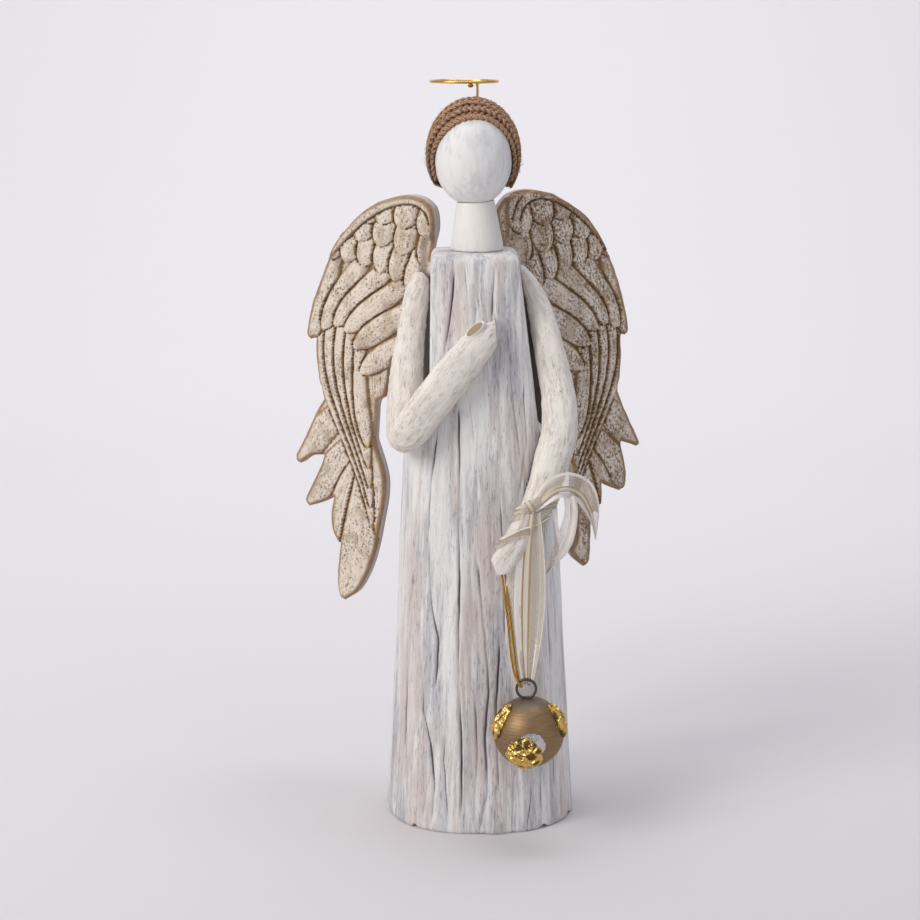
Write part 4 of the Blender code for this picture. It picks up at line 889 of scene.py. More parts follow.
def head_skin():
    """Return the head: an egg with the slight flats that a knife leaves."""
    rings = egg_rings(HEAD_HALF, 0.0, 150, 96)
    away = unit(rings - HEAD_CENTRE)
    change = 0.30 * ripple(rings, 19.0, 21) - 0.22 * np.abs(ripple(rings, 12.0, 22))
    return closed_skin(rings + away * change[..., None])


def neck_skin():
    """Return the neck: a turned taper whose top is hollowed to the head's own curve."""
    share = np.linspace(0.0, 1.0, 60)
    foot = ROBE_HEIGHT + GAP
    z = foot + (NECK_LENGTH - GAP) * share
    x = NECK_X[0] + (NECK_X[1] - NECK_X[0]) * share
    radius = NECK_RADIUS[0] + (NECK_RADIUS[1] - NECK_RADIUS[0]) * share**1.25
    radius -= 0.4 * (1.0 - smooth_step((z - foot) / 1.0))
    turn = np.arange(110) * TURN / 110
    circle = np.stack([np.cos(turn), np.sin(turn), 0.0 * turn], axis=-1)
    centre = np.stack([x, 0.0 * x, z], axis=-1)
    outer = centre[:, None, :] + radius[:, None, None] * circle
    outer[..., :2] += 0.16 * ripple(outer, 16.0, 31)[..., None] * circle[..., :2]
    inside = centre[-1] + (radius[-1] * np.linspace(1.0, 0.05, 20))[:, None, None] * circle
    rings = np.vstack([outer, inside])
    reach = np.hypot(
        (rings[..., 0] - HEAD_CENTRE[0]) / (HEAD_HALF[0] + GAP), (rings[..., 1] - HEAD_CENTRE[1]) / (HEAD_HALF[1] + GAP)
    )
    under = HEAD_CENTRE[2] - (HEAD_HALF[2] + GAP) * (1.0 - np.clip(reach, 0.0, 1.0) ** HEAD_POWER) ** (1.0 / HEAD_POWER)
    rings[..., 2] = np.minimum(rings[..., 2], under)
    seam = np.clip(1.0 - (rings[..., 2] - foot) / 1.6, 0.0, 1.0)
    return closed_skin(rings, {"seam": seam, "neck": 1.0})


def white_paint(settings):
    """The head's and neck's finish: white paint with soft grey brush strokes and a few specks."""
    paint = Finish("white_paint", 0.62)
    strokes = paint.noise(0.0030, paint.place((1.0, 1.0, 0.28), (0.0, 0.35, 0.0)), 5.0, 0.6, 0.5)
    patches = paint.noise(0.016, paint.place((1.0, 1.0, 0.7)), 3.0)
    grey = paint.step(strokes * 0.6 + patches * 0.5, 0.52, 0.72)
    base = paint.mix(grey * 0.42, settings.paint[:], settings.blue_glaze[:])
    fine = paint.noise(0.0012, paint.place((1.0, 1.0, 0.3)), 4.0)
    specks = paint.step(fine, 0.715, 0.76) * paint.step(patches, 0.47, 0.62)
    base = paint.mix(specks * 0.7, base, settings.dark_marks[:])
    seam = paint.step(paint.mark("seam"), 0.3, 1.0) * paint.step(patches, 0.40, 0.55)
    base = paint.mix(seam * 0.55, base, settings.dark_marks[:])
    base = paint.mix(paint.mark("neck") * 0.45, base, settings.cream[:])
    paint.set("Base Color", base)
    paint.set("Normal", paint.bump(strokes * 0.8 + fine * 0.25, 0.0006, 0.5))
    return paint


# The braided hair


def hair_reach(way, grow):
    """Return how far the hair's egg lies from the braids' pole along each way: the outer root of
    the quadratic for a line and an ellipsoid."""
    half = HEAD_HALF + grow
    start = np.array([0.0, 0.0, -HAIR_POLE_DROP]) / half
    slope = way / half
    a = (slope**2).sum(axis=-1)
    b = (slope * start).sum(axis=-1)
    c = (start**2).sum() - 1.0
    return (-b + np.sqrt(b * b - a * c)) / a


def hair_place(sideways, fan, grow):
    """Return the place on the grown head at two angles: sideways from the middle, and the fan's
    angle from the face over the crown to the nape."""
    way = np.stack(
        [
            np.sin(sideways) + 0.0 * fan,
            -np.cos(sideways) * np.cos(fan),
            np.cos(sideways) * np.sin(fan),
        ],
        axis=-1,
    )
    pole = HEAD_CENTRE - np.array([0.0, 0.0, HAIR_POLE_DROP])
    return pole + way * hair_reach(way, grow)[..., None]


def strand_skin(path, outward, width, thick, phase, pitch, radius, seed, light):
    """Return one strand of a three-strand braid: its middle swings by sin(p) across and sin(2p)
    outward, and its round section is carried along that."""
    along = lengths(path)
    taper = 0.30 + 0.70 * smooth_step(np.minimum(along, along[-1] - along) / 10.0)
    width = width * taper
    way = unit(np.gradient(path, axis=0))
    across = unit(np.cross(way, outward))
    turn = TURN * along / pitch + phase
    swing = across * (width * np.sin(turn))[:, None] + outward * (thick * np.sin(2.0 * turn))[:, None]
    random = np.random.default_rng(seed)
    wander = 0.12 * random.normal(size=(len(path), 3))
    middle = path + swing + wander
    size = radius * (0.4 + 0.6 * taper) * (1.0 + 0.10 * np.sin(along / 2.3 + phase))
    size = size * np.maximum(dome(middle, 1.5, 1.5), 0.15)
    rings = tube_rings(middle, size, size * 0.86, outward.mean(axis=0), 6)
    shade = random.uniform(0.0, 1.0) + light
    marks = {
        "along": np.broadcast_to(along[:, None], rings.shape[:2]),
        "around": np.broadcast_to(np.arange(6) / 6.0, rings.shape[:2]),
        "shade": shade,
        # depth is high where the strand lies outward in the braid; the finish paints its low parts darker as painted
        # shade.
        "depth": np.broadcast_to((0.5 + 0.5 * np.sin(2.0 * turn))[:, None], rings.shape[:2]),
    }
    return closed_skin(rings, marks)


def hair_skins(settings):
    """Return the hair: a thin cap, three strands for each braid of the fan, the braid that edges
    the face, and loose fibres."""
    random = np.random.default_rng(17)
    radius = settings.strand / MM
    face_side = math.radians(67.0)
    nape_side = math.radians(190.0)
    grow = np.array([3.9, 3.2, 2.1])
    skins = []
    fans = np.linspace(face_side + 0.07, nape_side, settings.braids - 1)
    fans = np.concatenate([[face_side], fans])
    for number, fan in enumerate(fans):
        sideways = np.linspace(math.radians(-87.0), math.radians(97.0), 150)
        sway = fan + 0.02 * np.sin(3.0 * sideways + number)
        rise = grow * (0.5 if number == 0 else 1.0)
        path = hair_place(sideways, sway, rise)
        outward = unit(path - HEAD_CENTRE)
        spread = np.linalg.norm(path - hair_place(sideways, sway + fans[2] - fans[1], rise), axis=-1)
        width = np.clip(0.36 * spread, 0.85, 2.2)
        low = np.where(sideways < 0.0, 0.80, 0.92) * HEAD_HALF[2]
        keep = path[:, 2] > HEAD_CENTRE[2] - low
        path, outward, width = path[keep], outward[keep], width[keep]
        for strand in range(3):
            phase = TURN * strand / 3.0 + 0.9 * number
            size = radius * np.clip(width / 1.7, 0.62, 1.05)
            light = 0.6 if number == 0 else 0.0
            skins.append(strand_skin(path, outward, width, 0.8, phase, 11.5, size, 100 * number + strand, light))
    skins.append(cap_skin(face_side - 0.01, nape_side))
    skins += fibre_skins(settings, random, face_side, nape_side)
    return skins


def cap_skin(first, last):
    """Return the thin cap under the braids: two layers over the same angles, closed at the rim."""
    fan = np.linspace(first, last, 46)
    sideways = np.radians(np.linspace(-76.0, 76.0, 60))
    side, turn = np.meshgrid(sideways, fan)
    outer = hair_place(side, turn, np.array([1.9, 1.7, 1.0]))
    inner = hair_place(side, turn, np.array([0.4, 0.4, 0.4]))
    # The cap's low shade mark, and its depth mark of nought, paint the gaps between the braids dark brown: painted
    # shade.
    return closed_skin(np.concatenate([outer, inner[:, ::-1]], axis=1), {"shade": 0.1})


def fibre_skins(settings, random, first, last):
    """Return loose fibres: thin curved tubes that leave the braids at seeded places."""
    skins = []
    for _ in range(settings.fibres):
        side = np.array([random.uniform(-1.28, 1.28)])
        fan = np.array([random.uniform(first - 0.02, last)])
        root = hair_place(side, fan, np.array([4.6, 3.9, 2.8]))[0]
        away = unit(root - HEAD_CENTRE)
        drift = unit(np.cross(away, random.normal(size=3)))
        reach = random.uniform(1.5, 5.0)
        t = np.linspace(0.0, 1.0, 5)[:, None]
        lift = random.uniform(0.05, 0.6)
        path = root + drift * reach * t + away * (reach * lift * t**1.5 - 0.2)
        path += unit(np.cross(drift, away)) * reach * random.uniform(-0.35, 0.35) * t**2
        size = 0.13 * (1.0 - 0.6 * t[:, 0])
        skins.append(closed_skin(tube_rings(path, size, size, away, 3), {"shade": random.uniform(0.3, 1.0)}))
    return skins


def jute_braid(settings):
    """The hair's finish: twisted jute, from dark brown to tan. The strands' colour differs at random from
    strand to strand; the dark brown in the twist's creases, where a strand dips under the others, and
    on the cap between the braids is painted shade.
    """
    jute = Finish("jute_braid", 0.82)
    twist = (jute.mark("along") * 1.6 + jute.mark("around") * (3.0 * TURN)).math("SINE") * 0.5 + 0.5
    fuzz = jute.noise(0.0006, jute.place(), 4.0, 0.7)
    # Random colour per strand, plus painted shade where a strand dips under the others.
    tone_and_painted_shade = jute.mark("shade") * 0.30 + jute.mark("depth") * 0.55 + fuzz * 0.9 - 0.42
    base = jute.mix(jute.step(tone_and_painted_shade, 0.02, 0.72), settings.shade[:], settings.jute[:])
    # Painted shade in the creases of the strand's twist.
    base = jute.mix(jute.step(twist, 0.0, 0.35) * -0.45 + 0.45, base, settings.shade[:])
    jute.set("Base Color", base)
    fuzzy = jute.bump(fuzz, 0.0005, 0.7)
    jute.set("Normal", jute.bump(twist, 0.0006, 0.8, fuzzy))
    return jute


# The halo


def ring_skin(centre, radius, wire, upright, around, sides, seed, uneven):
    """Return a wire ring: a circle carried round a circle, its thickness a little uneven."""
    turn = np.arange(around + 1) * TURN / around
    tilt = np.arange(sides) * TURN / sides
    spot = np.stack([np.cos(turn), np.sin(turn), 0.0 * turn], axis=-1)
    size = wire * (1.0 + uneven * ripple(spot, 0.35, seed))
    size[-1] = size[0]
    reach = radius + size[:, None] * np.cos(tilt)
    rise = size[:, None] * np.sin(tilt)
    flat = np.stack([reach * np.cos(turn)[:, None], reach * np.sin(turn)[:, None], rise], axis=-1)
    if upright:
        flat = flat[..., [0, 2, 1]]
    points = (centre + flat[:-1]).reshape(-1, 3)
    i = np.arange(around)[:, None]
    j = np.arange(sides)[None, :]
    k = (i + 1) % around
    m = (j + 1) % sides
    quads = np.stack([i * sides + j, k * sides + j, k * sides + m, i * sides + m], axis=-1).reshape(-1, 4)
    if upright:
        quads = quads[:, ::-1]
    return {"points": points, "quads": quads, "fans": np.zeros((0, 3), int), "marks": {}}


def halo_skins():
    """Return the halo: the ring, the bent stem and the soldered wire end."""
    offset_y = math.sqrt(HALO_RADIUS**2 - HALO_OFFSET_X**2)
    centre = np.array([STEM[0] + HALO_OFFSET_X, STEM[1] + offset_y, HALO_HEIGHT])
    ring = ring_skin(centre, HALO_RADIUS, WIRE_RADIUS, False, 160, 12, 41, 0.05)
    foot = HEAD_CENTRE[2] + HEAD_HALF[2] + 2.0 * GAP
    z = np.linspace(foot, HALO_HEIGHT - 0.2, 30)
    bend = 0.25 * np.sin((z - foot) / (HALO_HEIGHT - foot) * math.pi)
    path = np.stack([STEM[0] + bend, STEM[1] + 0.0 * z, z], axis=-1)
    size = np.full(len(z), WIRE_RADIUS * 0.9)
    size[-6:] *= np.linspace(1.0, 1.12, 6)
    stem = closed_skin(tube_rings(path, size, size, FRONT, 12))
    aside = -4.0 - HALO_OFFSET_X
    spot = centre + np.array([aside, -math.sqrt(HALO_RADIUS**2 - aside**2), -2.0])
    return [ring, stem, blob_skin(spot, np.array([1.7, 1.4, 1.3]), 43, 0.12)]


def blob_skin(centre, half, seed, uneven):
    """Return a small lump: an ellipsoid of latitude rings with a seeded unevenness."""
    polar = np.linspace(0.0, math.pi, 22)[1:-1]
    turn = np.arange(28) * TURN / 28
    way = np.stack(
        [
            np.sin(polar)[:, None] * np.cos(turn),
            np.sin(polar)[:, None] * np.sin(turn),
            np.broadcast_to(-np.cos(polar)[:, None], (len(polar), len(turn))),
        ],
        axis=-1,
    )
    return closed_skin(centre + way * half * (1.0 + uneven * ripple(way, 1.1, seed))[..., None])


def gold_wire(name, shade, roughness):
    """A polished metal wire: even metal with drawn scratches in its gloss."""
    wire = Finish(name, roughness, 1.0)
    scratches = wire.noise(0.0008, wire.place(), 3.0)
    wire.set("Base Color", wire.mix(wire.step(scratches, 0.35, 0.7) * 0.35, shade, tuple(0.6 * c for c in shade)))
    wire.set("Roughness", scratches * 0.25 + roughness - 0.1)
    wire.set("Normal", wire.bump(scratches, 0.0001, 0.3))
    return wire


# The arms


def carved(rings, seed, cut):
    """Return the rings with shallow knife flats: the surface moves in by a seeded noise."""
    middle = rings.mean(axis=1, keepdims=True)
    away = unit(rings - middle)
    change = -cut * np.abs(ripple(rings, 15.0, seed)) + 0.4 * cut * ripple(rings, 6.0, seed + 1)
    return rings + away * change[..., None]


def planed(rings, planes):
    """Return the rings cut flat by planes, each a place and a normal: what stands out moves back."""
    for place, normal in planes:
        normal = unit(np.array(normal))
        out = np.maximum((rings - np.array(place)) @ normal, 0.0)
        rings = rings - out[..., None] * normal
    return rings


def grain_marks(rings, seed):
    """Return a limb's own coordinates for its grain: the length along it, and its section."""
    along = lengths(rings.mean(axis=1))
    turn = np.arange(rings.shape[1]) * TURN / rings.shape[1]
    reach = np.linalg.norm(rings - rings.mean(axis=1, keepdims=True), axis=-1)
    return {
        "along": (along + 100.0 * seed)[:, None] * MM + 0.0 * reach,
        "aside": reach * np.cos(turn) * MM,
        "ahead": reach * np.sin(turn) * MM,
    }


def arm_rings(rows, grow, stations, sides, ends=(3.0, 2.2), power=2.25):
    """Return an arm's rings from rows of x, y, z, half width and half depth."""
    rows = smooth_rows(rows, end_heavy(stations, 0.55))
    share = dome(rows[:, :3], *ends) if grow == 0.0 else 1.0
    return tube_rings(rows[:, :3], (rows[:, 3] + grow) * share, (rows[:, 4] + grow) * share, FRONT, sides, power)


def left_arm_skins():
    """Return the bent arm: upper arm, forearm and thumb, each a carved tube."""
    upper = np.array(LEFT_UPPER_ARM)
    upper[:, 0] = -SHOULDER_FLATS[0] - upper[:, 0]
    upper[:, 2] = ROBE_HEIGHT - upper[:, 2]
    rings = carved(arm_rings(upper, 0.0, 170, 72, (3.5, 6.0)), 51, 0.5)
    rings[..., 0] = np.minimum(rings[..., 0], -SHOULDER_FLATS[0] - GAP)
    forearm = np.array(LEFT_FOREARM)
    x = -SHOULDER_FLATS[0] - forearm[:, 0]
    z = ROBE_HEIGHT - forearm[:, 1]
    chest = robe_front(np.maximum(x, CHEST_EDGE - SHOULDER_FLATS[0]), z) - forearm[:, 3]
    rows = np.column_stack([x, np.minimum(chest, ELBOW_Y), z, forearm[:, 2:]])
    lower = planed(carved(arm_rings(rows, 0.0, 220, 84, (8.0, 1.4), 2.4), 53, 0.5), LEFT_HAND_CUTS)
    return [closed_skin(rings, grain_marks(rings, 1)), closed_skin(lower, grain_marks(lower, 2))]


def thumb_skin():
    """Return the thumb's stub: a short loft from inside the hand to a slanting oval cut."""
    along = unit(np.array(THUMB_CUT_ALONG))
    facing = unit(np.array(THUMB_CUT_FACING))
    facing = unit(facing - along * (facing @ along))
    across = np.cross(along, facing)
    centre = np.array(THUMB_CUT)
    base = centre - facing * 9.0 - along * 3.0
    turn = np.arange(48) * TURN / 48
    oval = np.cos(turn)[:, None] * along * THUMB_CUT_HALF[0] + np.sin(turn)[:, None] * across * THUMB_CUT_HALF[1]
    share = np.linspace(0.0, 1.0, 24)
    swell = 1.0 + 0.42 * np.sqrt(np.clip(1.0 - share**3, 0.0, 1.0))
    rings = base + (centre - base) * share[:, None, None] + oval * swell[:, None, None]
    rim = centre + facing * 0.02 + oval * np.array([0.93, 0.6, 0.25])[:, None, None]
    marks = np.zeros((27, 48))
    marks[24:] = 1.0
    return closed_skin(np.vstack([rings, rim]), {"cut": marks})


def right_arm_rings(grow, stations, sides):
    """Return the hanging arm's rings, its shoulder planed to the robe's right flat."""
    rows = np.array(RIGHT_ARM)
    rows[:, 0] += SHOULDER_FLATS[1]
    rows[:, 2] = ROBE_HEIGHT - rows[:, 2]
    rings = arm_rings(rows, grow, stations, sides, (3.5, 1.4), 2.4)
    z = rings[..., 2]
    flat = SHOULDER_FLATS[1] + RIGHT_FLAT_SLOPE * (ROBE_HEIGHT - TOP_ROUNDING - z) + GAP
    shoulder = z > ROBE_HEIGHT - PLANED_LENGTH
    rings[..., 0] = np.where(shoulder, np.maximum(rings[..., 0], flat), rings[..., 0])
    return planed(rings, RIGHT_HAND_CUTS) if grow == 0.0 else rings


def cream_wood(settings):
    """The arms' finish: cream wash over short brown grain strokes that run down each limb."""
    wood = Finish("cream_wood", 0.76)
    limb = {"X": wood.mark("aside"), "Y": wood.mark("ahead"), "Z": wood.mark("along") * 0.20}
    limb = wood.node("ShaderNodeCombineXYZ", None, limb)
    grain = wood.noise(0.0009, limb, 4.0, 0.65, 0.5)
    patches = wood.noise(0.012, wood.place((1.0, 1.0, 0.5)), 3.0)
    long_lines = wood.noise(0.0024, limb, 3.0, 0.55, 0.2)
    base = wood.mix(wood.step(patches, 0.35, 0.75) * 0.25, settings.cream[:], settings.pink_glaze[:])
    base = wood.mix(wood.step(long_lines, 0.44, 0.70) * 0.30, base, settings.strokes[:])
    strokes = wood.step(grain, 0.53, 0.64) * wood.step(patches + long_lines * 0.4, 0.46, 0.84)
    base = wood.mix(strokes * 0.60, base, settings.strokes[:])
    ticks = wood.step(wood.noise(0.0010, limb, 2.0, 0.5, 0.8), 0.68, 0.73)
    base = wood.mix(ticks * 0.5, base, settings.dark_marks[:])
    fibre = wood.noise(0.0008, wood.place((1.0, 1.0, 0.25)), 3.0)
    cut = wood.mix(wood.step(fibre, 0.35, 0.7), settings.end_grain[:], settings.strokes[:])
    base = wood.mix(wood.step(wood.mark("cut"), 0.45, 0.55), base, cut)
    wood.set("Base Color", base)
    wood.set("Normal", wood.bump(grain * 0.9 - ticks * 0.5, 0.0006, 0.6))
    return wood


# The wings


def wing_root():
    """Return where a wing's root starts, so that the two backs don't meet at the spine."""
    return WING_THICKNESS * math.tan(WING_SWEEP) + GAP


def wing_shape(side, spots):
    """Return u and v for one side: the right wing is a little smaller and sags less."""
    spots = np.array(spots, dtype=float)
    if side < 0:
        return spots
    drop = (WING_TOP - spots[..., 1]) / WING_DROP
    u = wing_root() + (spots[..., 0] - wing_root()) * RIGHT_WING_REACH
    v = RIGHT_WING_TOP - RIGHT_WING_DROP * drop - RIGHT_WING_SAG * drop * (1.0 - drop)
    return np.stack([u, v], axis=-1)


def wing_point(side, u, v, w):
    """Return the place of a wing's u, v and w: out along the sweep, up, and to the front."""
    z = ROBE_HEIGHT + v
    x = SPINE[0] + side * (u * math.cos(WING_SWEEP) + w * math.sin(WING_SWEEP))
    y = wing_plane_y(z) + u * math.sin(WING_SWEEP) - w * math.cos(WING_SWEEP)
    return np.stack([x, y, z + 0.0 * w], axis=-1)


def fan_feathers(fan):
    """Yield each feather of a fan: its Bezier points between the first, middle and last."""
    count, half_width, edge, shaft, first, middle, last = fan
    first = np.array(first, dtype=float)
    if count == 1:
        yield first, half_width, edge, shaft
        return
    last = np.array(last, dtype=float)
    middle = 0.5 * (first + last) if middle is None else np.array(middle, dtype=float)
    for t in np.linspace(0.0, 1.0, count):
        bezier = first * (1 - t) * (1 - 2 * t) + middle * 4 * t * (1 - t) + last * t * (2 * t - 1)
        yield bezier, half_width, edge, shaft


def feather_width(t):
    """Return a feather's width along its length: it swells slowly and narrows to a blunt tip."""
    body = 0.72 + 0.28 * np.sin(np.clip(t / 0.7, 0.0, 1.0) * math.pi / 2.0)
    tip = np.sqrt(np.clip(1.0 - np.maximum((t - TIP_SHARE) / (1.0 - TIP_SHARE), 0.0) ** 2, 0.0, 1.0))
    return body * tip


def wing_outline(side):
    """Return the wing's outline as even steps along each of its smooth runs."""
    outline = [np.array([(wing_root() + u, v) for u, v in ROOT_TAB])]
    for run in WING_OUTLINES[side]:
        span = np.linalg.norm(np.diff(run, axis=0), axis=1).sum()
        count = max(3, round(span / OUTLINE_STEP) + 1)
        outline.append(smooth_rows(run, np.linspace(0.0, 1.0, count))[:-1])
    return np.vstack([*outline, WING_OUTLINES[side][-1][-1:]])


def carving_start(side, v):
    """Return the u beside the robe where the carving starts."""
    z = ROBE_HEIGHT + np.minimum(v, 0.0)
    slope = RIGHT_FLAT_SLOPE * (ROBE_HEIGHT - TOP_ROUNDING - z)
    flat = SHOULDER_FLATS[0] + SPINE[0] if side < 0 else SHOULDER_FLATS[1] + slope - SPINE[0]
    return flat / math.cos(WING_SWEEP) + ROBE_CLEARANCE


def to_outline(spots, outline):
    """Return which spots lie inside an outline, and their distances to it."""
    inside = np.zeros(len(spots), bool)
    distance = np.full(len(spots), FAR)
    for start, end in zip(outline, np.roll(outline, -1, axis=0)):
        edge = end - start
        offset = spots - start
        share = np.clip(offset @ edge / (edge @ edge), 0.0, 1.0)
        distance = np.minimum(distance, np.linalg.norm(offset - share[:, None] * edge, axis=1))
        if edge[1] != 0.0:
            spans = (start[1] <= spots[:, 1]) != (end[1] <= spots[:, 1])
            crossing = start[0] + (spots[:, 1] - start[1]) * edge[0] / edge[1]
            inside ^= spans & (crossing > spots[:, 0])
    return inside, distance


def wing_carving(side, spots):
    """Return the carved front at each spot: how far it stands out, and its marks.

    The topmost feather over a spot counts. Across its width s it is domed from the edge height to
    the shaft height, with a raised rim and barbs that run along it. The groove mark is the
    nearness to its rim, the gilt mark keeps to rims and tips, and the shadow mark is a painted
    shadow on the root beside the robe."""
    height = np.zeros(len(spots))
    marks = {name: np.zeros(len(spots)) for name in ("groove", "lines", "gilt")}
    t = np.linspace(0.0, 1.0, 61)
    number = 0
    for fan in FANS:
        for bezier, half_width, edge, shaft in fan_feathers(fan):
            number += 1
            a, b, c, d = wing_shape(side, bezier)
            share = t[:, None]
            place = a * (1 - share) ** 3 + 3 * b * share * (1 - share) ** 2
            place = place + 3 * c * share**2 * (1 - share) + d * share**3
            slope = unit(np.gradient(place, axis=0))
            normal = np.column_stack([-slope[:, 1], slope[:, 0]])
            reach = half_width * feather_width(t)
            near_by = np.abs(spots - place.mean(axis=0)).max(axis=1) < np.ptp(place, axis=0).max() + 2.0 * half_width
            some = np.flatnonzero(near_by)
            offset = spots[some, None, :] - place
            near = np.argmin((offset**2).sum(axis=-1), axis=1)
            offset = offset[np.arange(len(some)), near]
            side_step = (offset * normal[near]).sum(axis=1)
            along = (offset * slope[near]).sum(axis=1)
            s = side_step / np.maximum(reach[near], TINY)
            beyond = ((near == 0) & (along < -0.5)) | ((near == len(t) - 1) & (along > 0.5))
            on = (np.abs(s) < 1.0) & ~beyond
            some, s, near, along = some[on], s[on], near[on], along[on]
            if len(some) == 0:
                continue
            span = lengths(place)
            reached = (span[near] + along) / span[-1]
            rim = (1.0 - np.abs(s)) * reach[near]
            flow = np.column_stack([spots[some], np.full(len(some), 9.0 * number)])
            count = 3.0 if half_width > 6.5 else 2.0
            barbs = np.cos(TURN * count * (s + 0.16 * ripple(flow, 21.0, number)))
            barbs = barbs * smooth_step(rim / 1.6)
            dome = edge + (shaft - edge) * (1.0 - np.abs(s) ** 3.2)
            lip = np.exp(-(((rim - 1.5) / 0.8) ** 2))
            dome = dome + 0.17 * barbs + 0.25 * lip + 0.35 * ripple(flow, 8.0, number + 50)
            height[some] = dome - 0.7 * np.exp(-((rim / 0.5) ** 2))
            marks["groove"][some] = np.exp(-((rim / 1.15) ** 2))
            marks["lines"][some] = smooth_step((-barbs - 0.25) / 0.6) * smooth_step(rim / 2.0)
            random = np.random.default_rng(number)
            shine = np.where(s > 0.0, 1.0, 0.45) * lip + smooth_step((reached - 0.86) / 0.1) * 0.7
            marks["gilt"][some] = np.clip(shine * random.uniform(0.35, 1.0), 0.0, 1.0)
    beside = (spots[:, 0] - carving_start(side, spots[:, 1])) / RELIEF_EASE
    above = (spots[:, 1] - ROBE_CLEARANCE) / RELIEF_EASE
    bare = smooth_step(np.maximum(beside, above))
    for name in marks:
        marks[name] = marks[name] * bare
    # The root beside the robe gets a painted shadow: the shadow mark, which the finish turns nearly black.
    root_painted_shadow = (1.0 - smooth_step(beside - 0.5)) * smooth_step((-16.0 - spots[:, 1]) / 6.0)
    marks["shadow"] = root_painted_shadow
    return height * bare, marks


def wing_skin(side):
    """Return the wing: a fine triangle grid cut to the outline, raised by the carving in front,
    scraped flat and slightly ribbed behind, with a softened edge between."""
    outline = wing_outline(side)
    count = len(outline)
    u = np.arange(0.0, 135.0, WING_GRID)
    v = np.arange(-250.0, 40.0, WING_GRID * 0.866)
    grid_u, grid_v = np.meshgrid(u, v)
    grid_u = grid_u + 0.5 * WING_GRID * (np.arange(len(v)) % 2)[:, None]
    spots = np.column_stack([grid_u.ravel(), grid_v.ravel()])
    inside, distance = to_outline(spots, outline)
    spots = spots[inside & (distance > 0.55 * WING_GRID)]
    points = [Vector(spot) for spot in np.vstack([outline, spots])]
    loop = [(i, (i + 1) % count) for i in range(count)]
    made = delaunay_2d_cdt(points, loop, [tuple(range(count))], 1, TINY)
    flat = np.array(made[0])
    faces = np.array(made[2])
    _, distance = to_outline(flat, outline)
    distance[:count] = 0.0
    height, marks = wing_carving(side, flat)
    worn = 1.0 - np.sqrt(np.clip(1.0 - (1.0 - np.clip(distance / 1.6, 0.0, 1.0)) ** 2, 0.0, 1.0))
    front = wing_point(side, flat[:, 0], flat[:, 1], height - worn * np.minimum(height + 0.8, 1.5))
    ribs = 0.35 * ripple(np.column_stack([flat * 0.5, flat[:, :1] * 0.0]), 6.0, 77)
    back = -WING_THICKNESS - 0.35 + ribs * (1.0 - worn) + 0.8 * worn
    behind = wing_point(side, flat[:, 0], flat[:, 1], back)
    base = len(flat)
    i = np.arange(count)
    k = (i + 1) % count
    walls = np.column_stack([i, base + i, base + k, k])
    if side < 0:
        faces = faces[:, ::-1]
        walls = walls[:, ::-1]
    # The rim's golden brown is kept off the painted shadow at the root.
    rimmed = np.exp(-((distance / 2.2) ** 2)) * (1.0 - marks["shadow"])
    kept = {name: np.concatenate([values, 0.0 * values]) for name, values in marks.items()}
    kept["rim"] = np.concatenate([rimmed, rimmed])
    kept["back"] = np.concatenate([np.zeros(base), np.ones(base)])
    fans = np.vstack([faces, faces[:, ::-1] + base])
    return {"points": np.vstack([front, behind]), "quads": walls, "fans": fans, "marks": kept}


def gilded_wood(name, settings, cover):
    """A wing's finish: a cream wash worn through to brown in fine specks, golden brown along each
    outline, dark in the deepest grooves, gold on the ridges, plainer behind, and a painted shadow,
    nearly black, on the root beside the robe.

    cover is the share of the wood that the wash hides."""
    wood = Finish(name, 0.66)
    speckle = wood.noise(0.0013, wood.place((1.0, 1.0, 0.75)), 6.0, 0.74, 0.3)
    patches = wood.noise(0.014, wood.place((1.0, 1.0, 0.6)), 3.0)
    lines = wood.mark("lines") * wood.step(patches, 0.30, 0.55)
    worn = speckle * 0.9 + patches * 0.34 - lines * 0.07
    wash = wood.step(worn, 0.70 - 0.20 * cover, 0.83 - 0.20 * cover)
    base = wood.mix(wash, settings.brown[:], settings.cream[:])
    stain = wood.step(wood.noise(0.011, wood.place((1.0, 1.0, 0.8), (0.0, 0.6, 0.0)), 3.0), 0.47, 0.66)
    base = wood.mix(stain * 0.42, base, settings.outline[:])
    pits = wood.step(wood.noise(0.0010, wood.place((1.0, 1.0, 0.7)), 4.0, 0.7), 0.60, 0.68)
    base = wood.mix(pits * (1.75 - cover) * 0.62, base, settings.dark[:])
    groove = wood.mark("groove")
    near_rim = groove.math("MAXIMUM", wood.mark("rim") * 0.9)
    base = wood.mix(wood.step(near_rim + speckle * 0.7, 0.44, 0.92) * 0.85, base, settings.outline[:])
    base = wood.mix(wood.step(groove + speckle * 0.6, 1.02, 1.45) * 0.68, base, settings.dark[:])
    gilt = wood.mark("gilt") * wood.step(wood.noise(0.006, wood.place()), 0.44, 0.66)
    shine = wood.step(gilt, 0.15, 0.6)
    base = wood.mix(shine * 0.6, base, settings.gold[:])
    back = wood.mark("back")
    plain = wood.mix(wood.step(speckle + patches * 0.5, 0.58, 0.90) * 0.55, settings.brown[:], settings.cream[:])
    base = wood.mix(wood.step(back, 0.90, 0.98), base, plain)
    sawn = wood.step(back, 0.06, 0.16) * (1.0 - wood.step(back, 0.84, 0.94))
    pale = wood.mix(speckle * 0.5, settings.edge[:], settings.outline[:])
    base = wood.mix(sawn, base, pale)
    # Painted shadow: the root beside the robe is painted nearly black.
    base = wood.mix(wood.mark("shadow") * 0.96, base, tuple(0.3 * c for c in settings.dark))
    wood.set("Base Color", base)
    wood.set("Metallic", shine * 0.4)
    wood.set("Roughness", 0.70 - shine * 0.25)
    wood.set("Normal", wood.bump(speckle * 0.8 - pits * 0.5, 0.0006, 0.7))
    return wood


# The bell


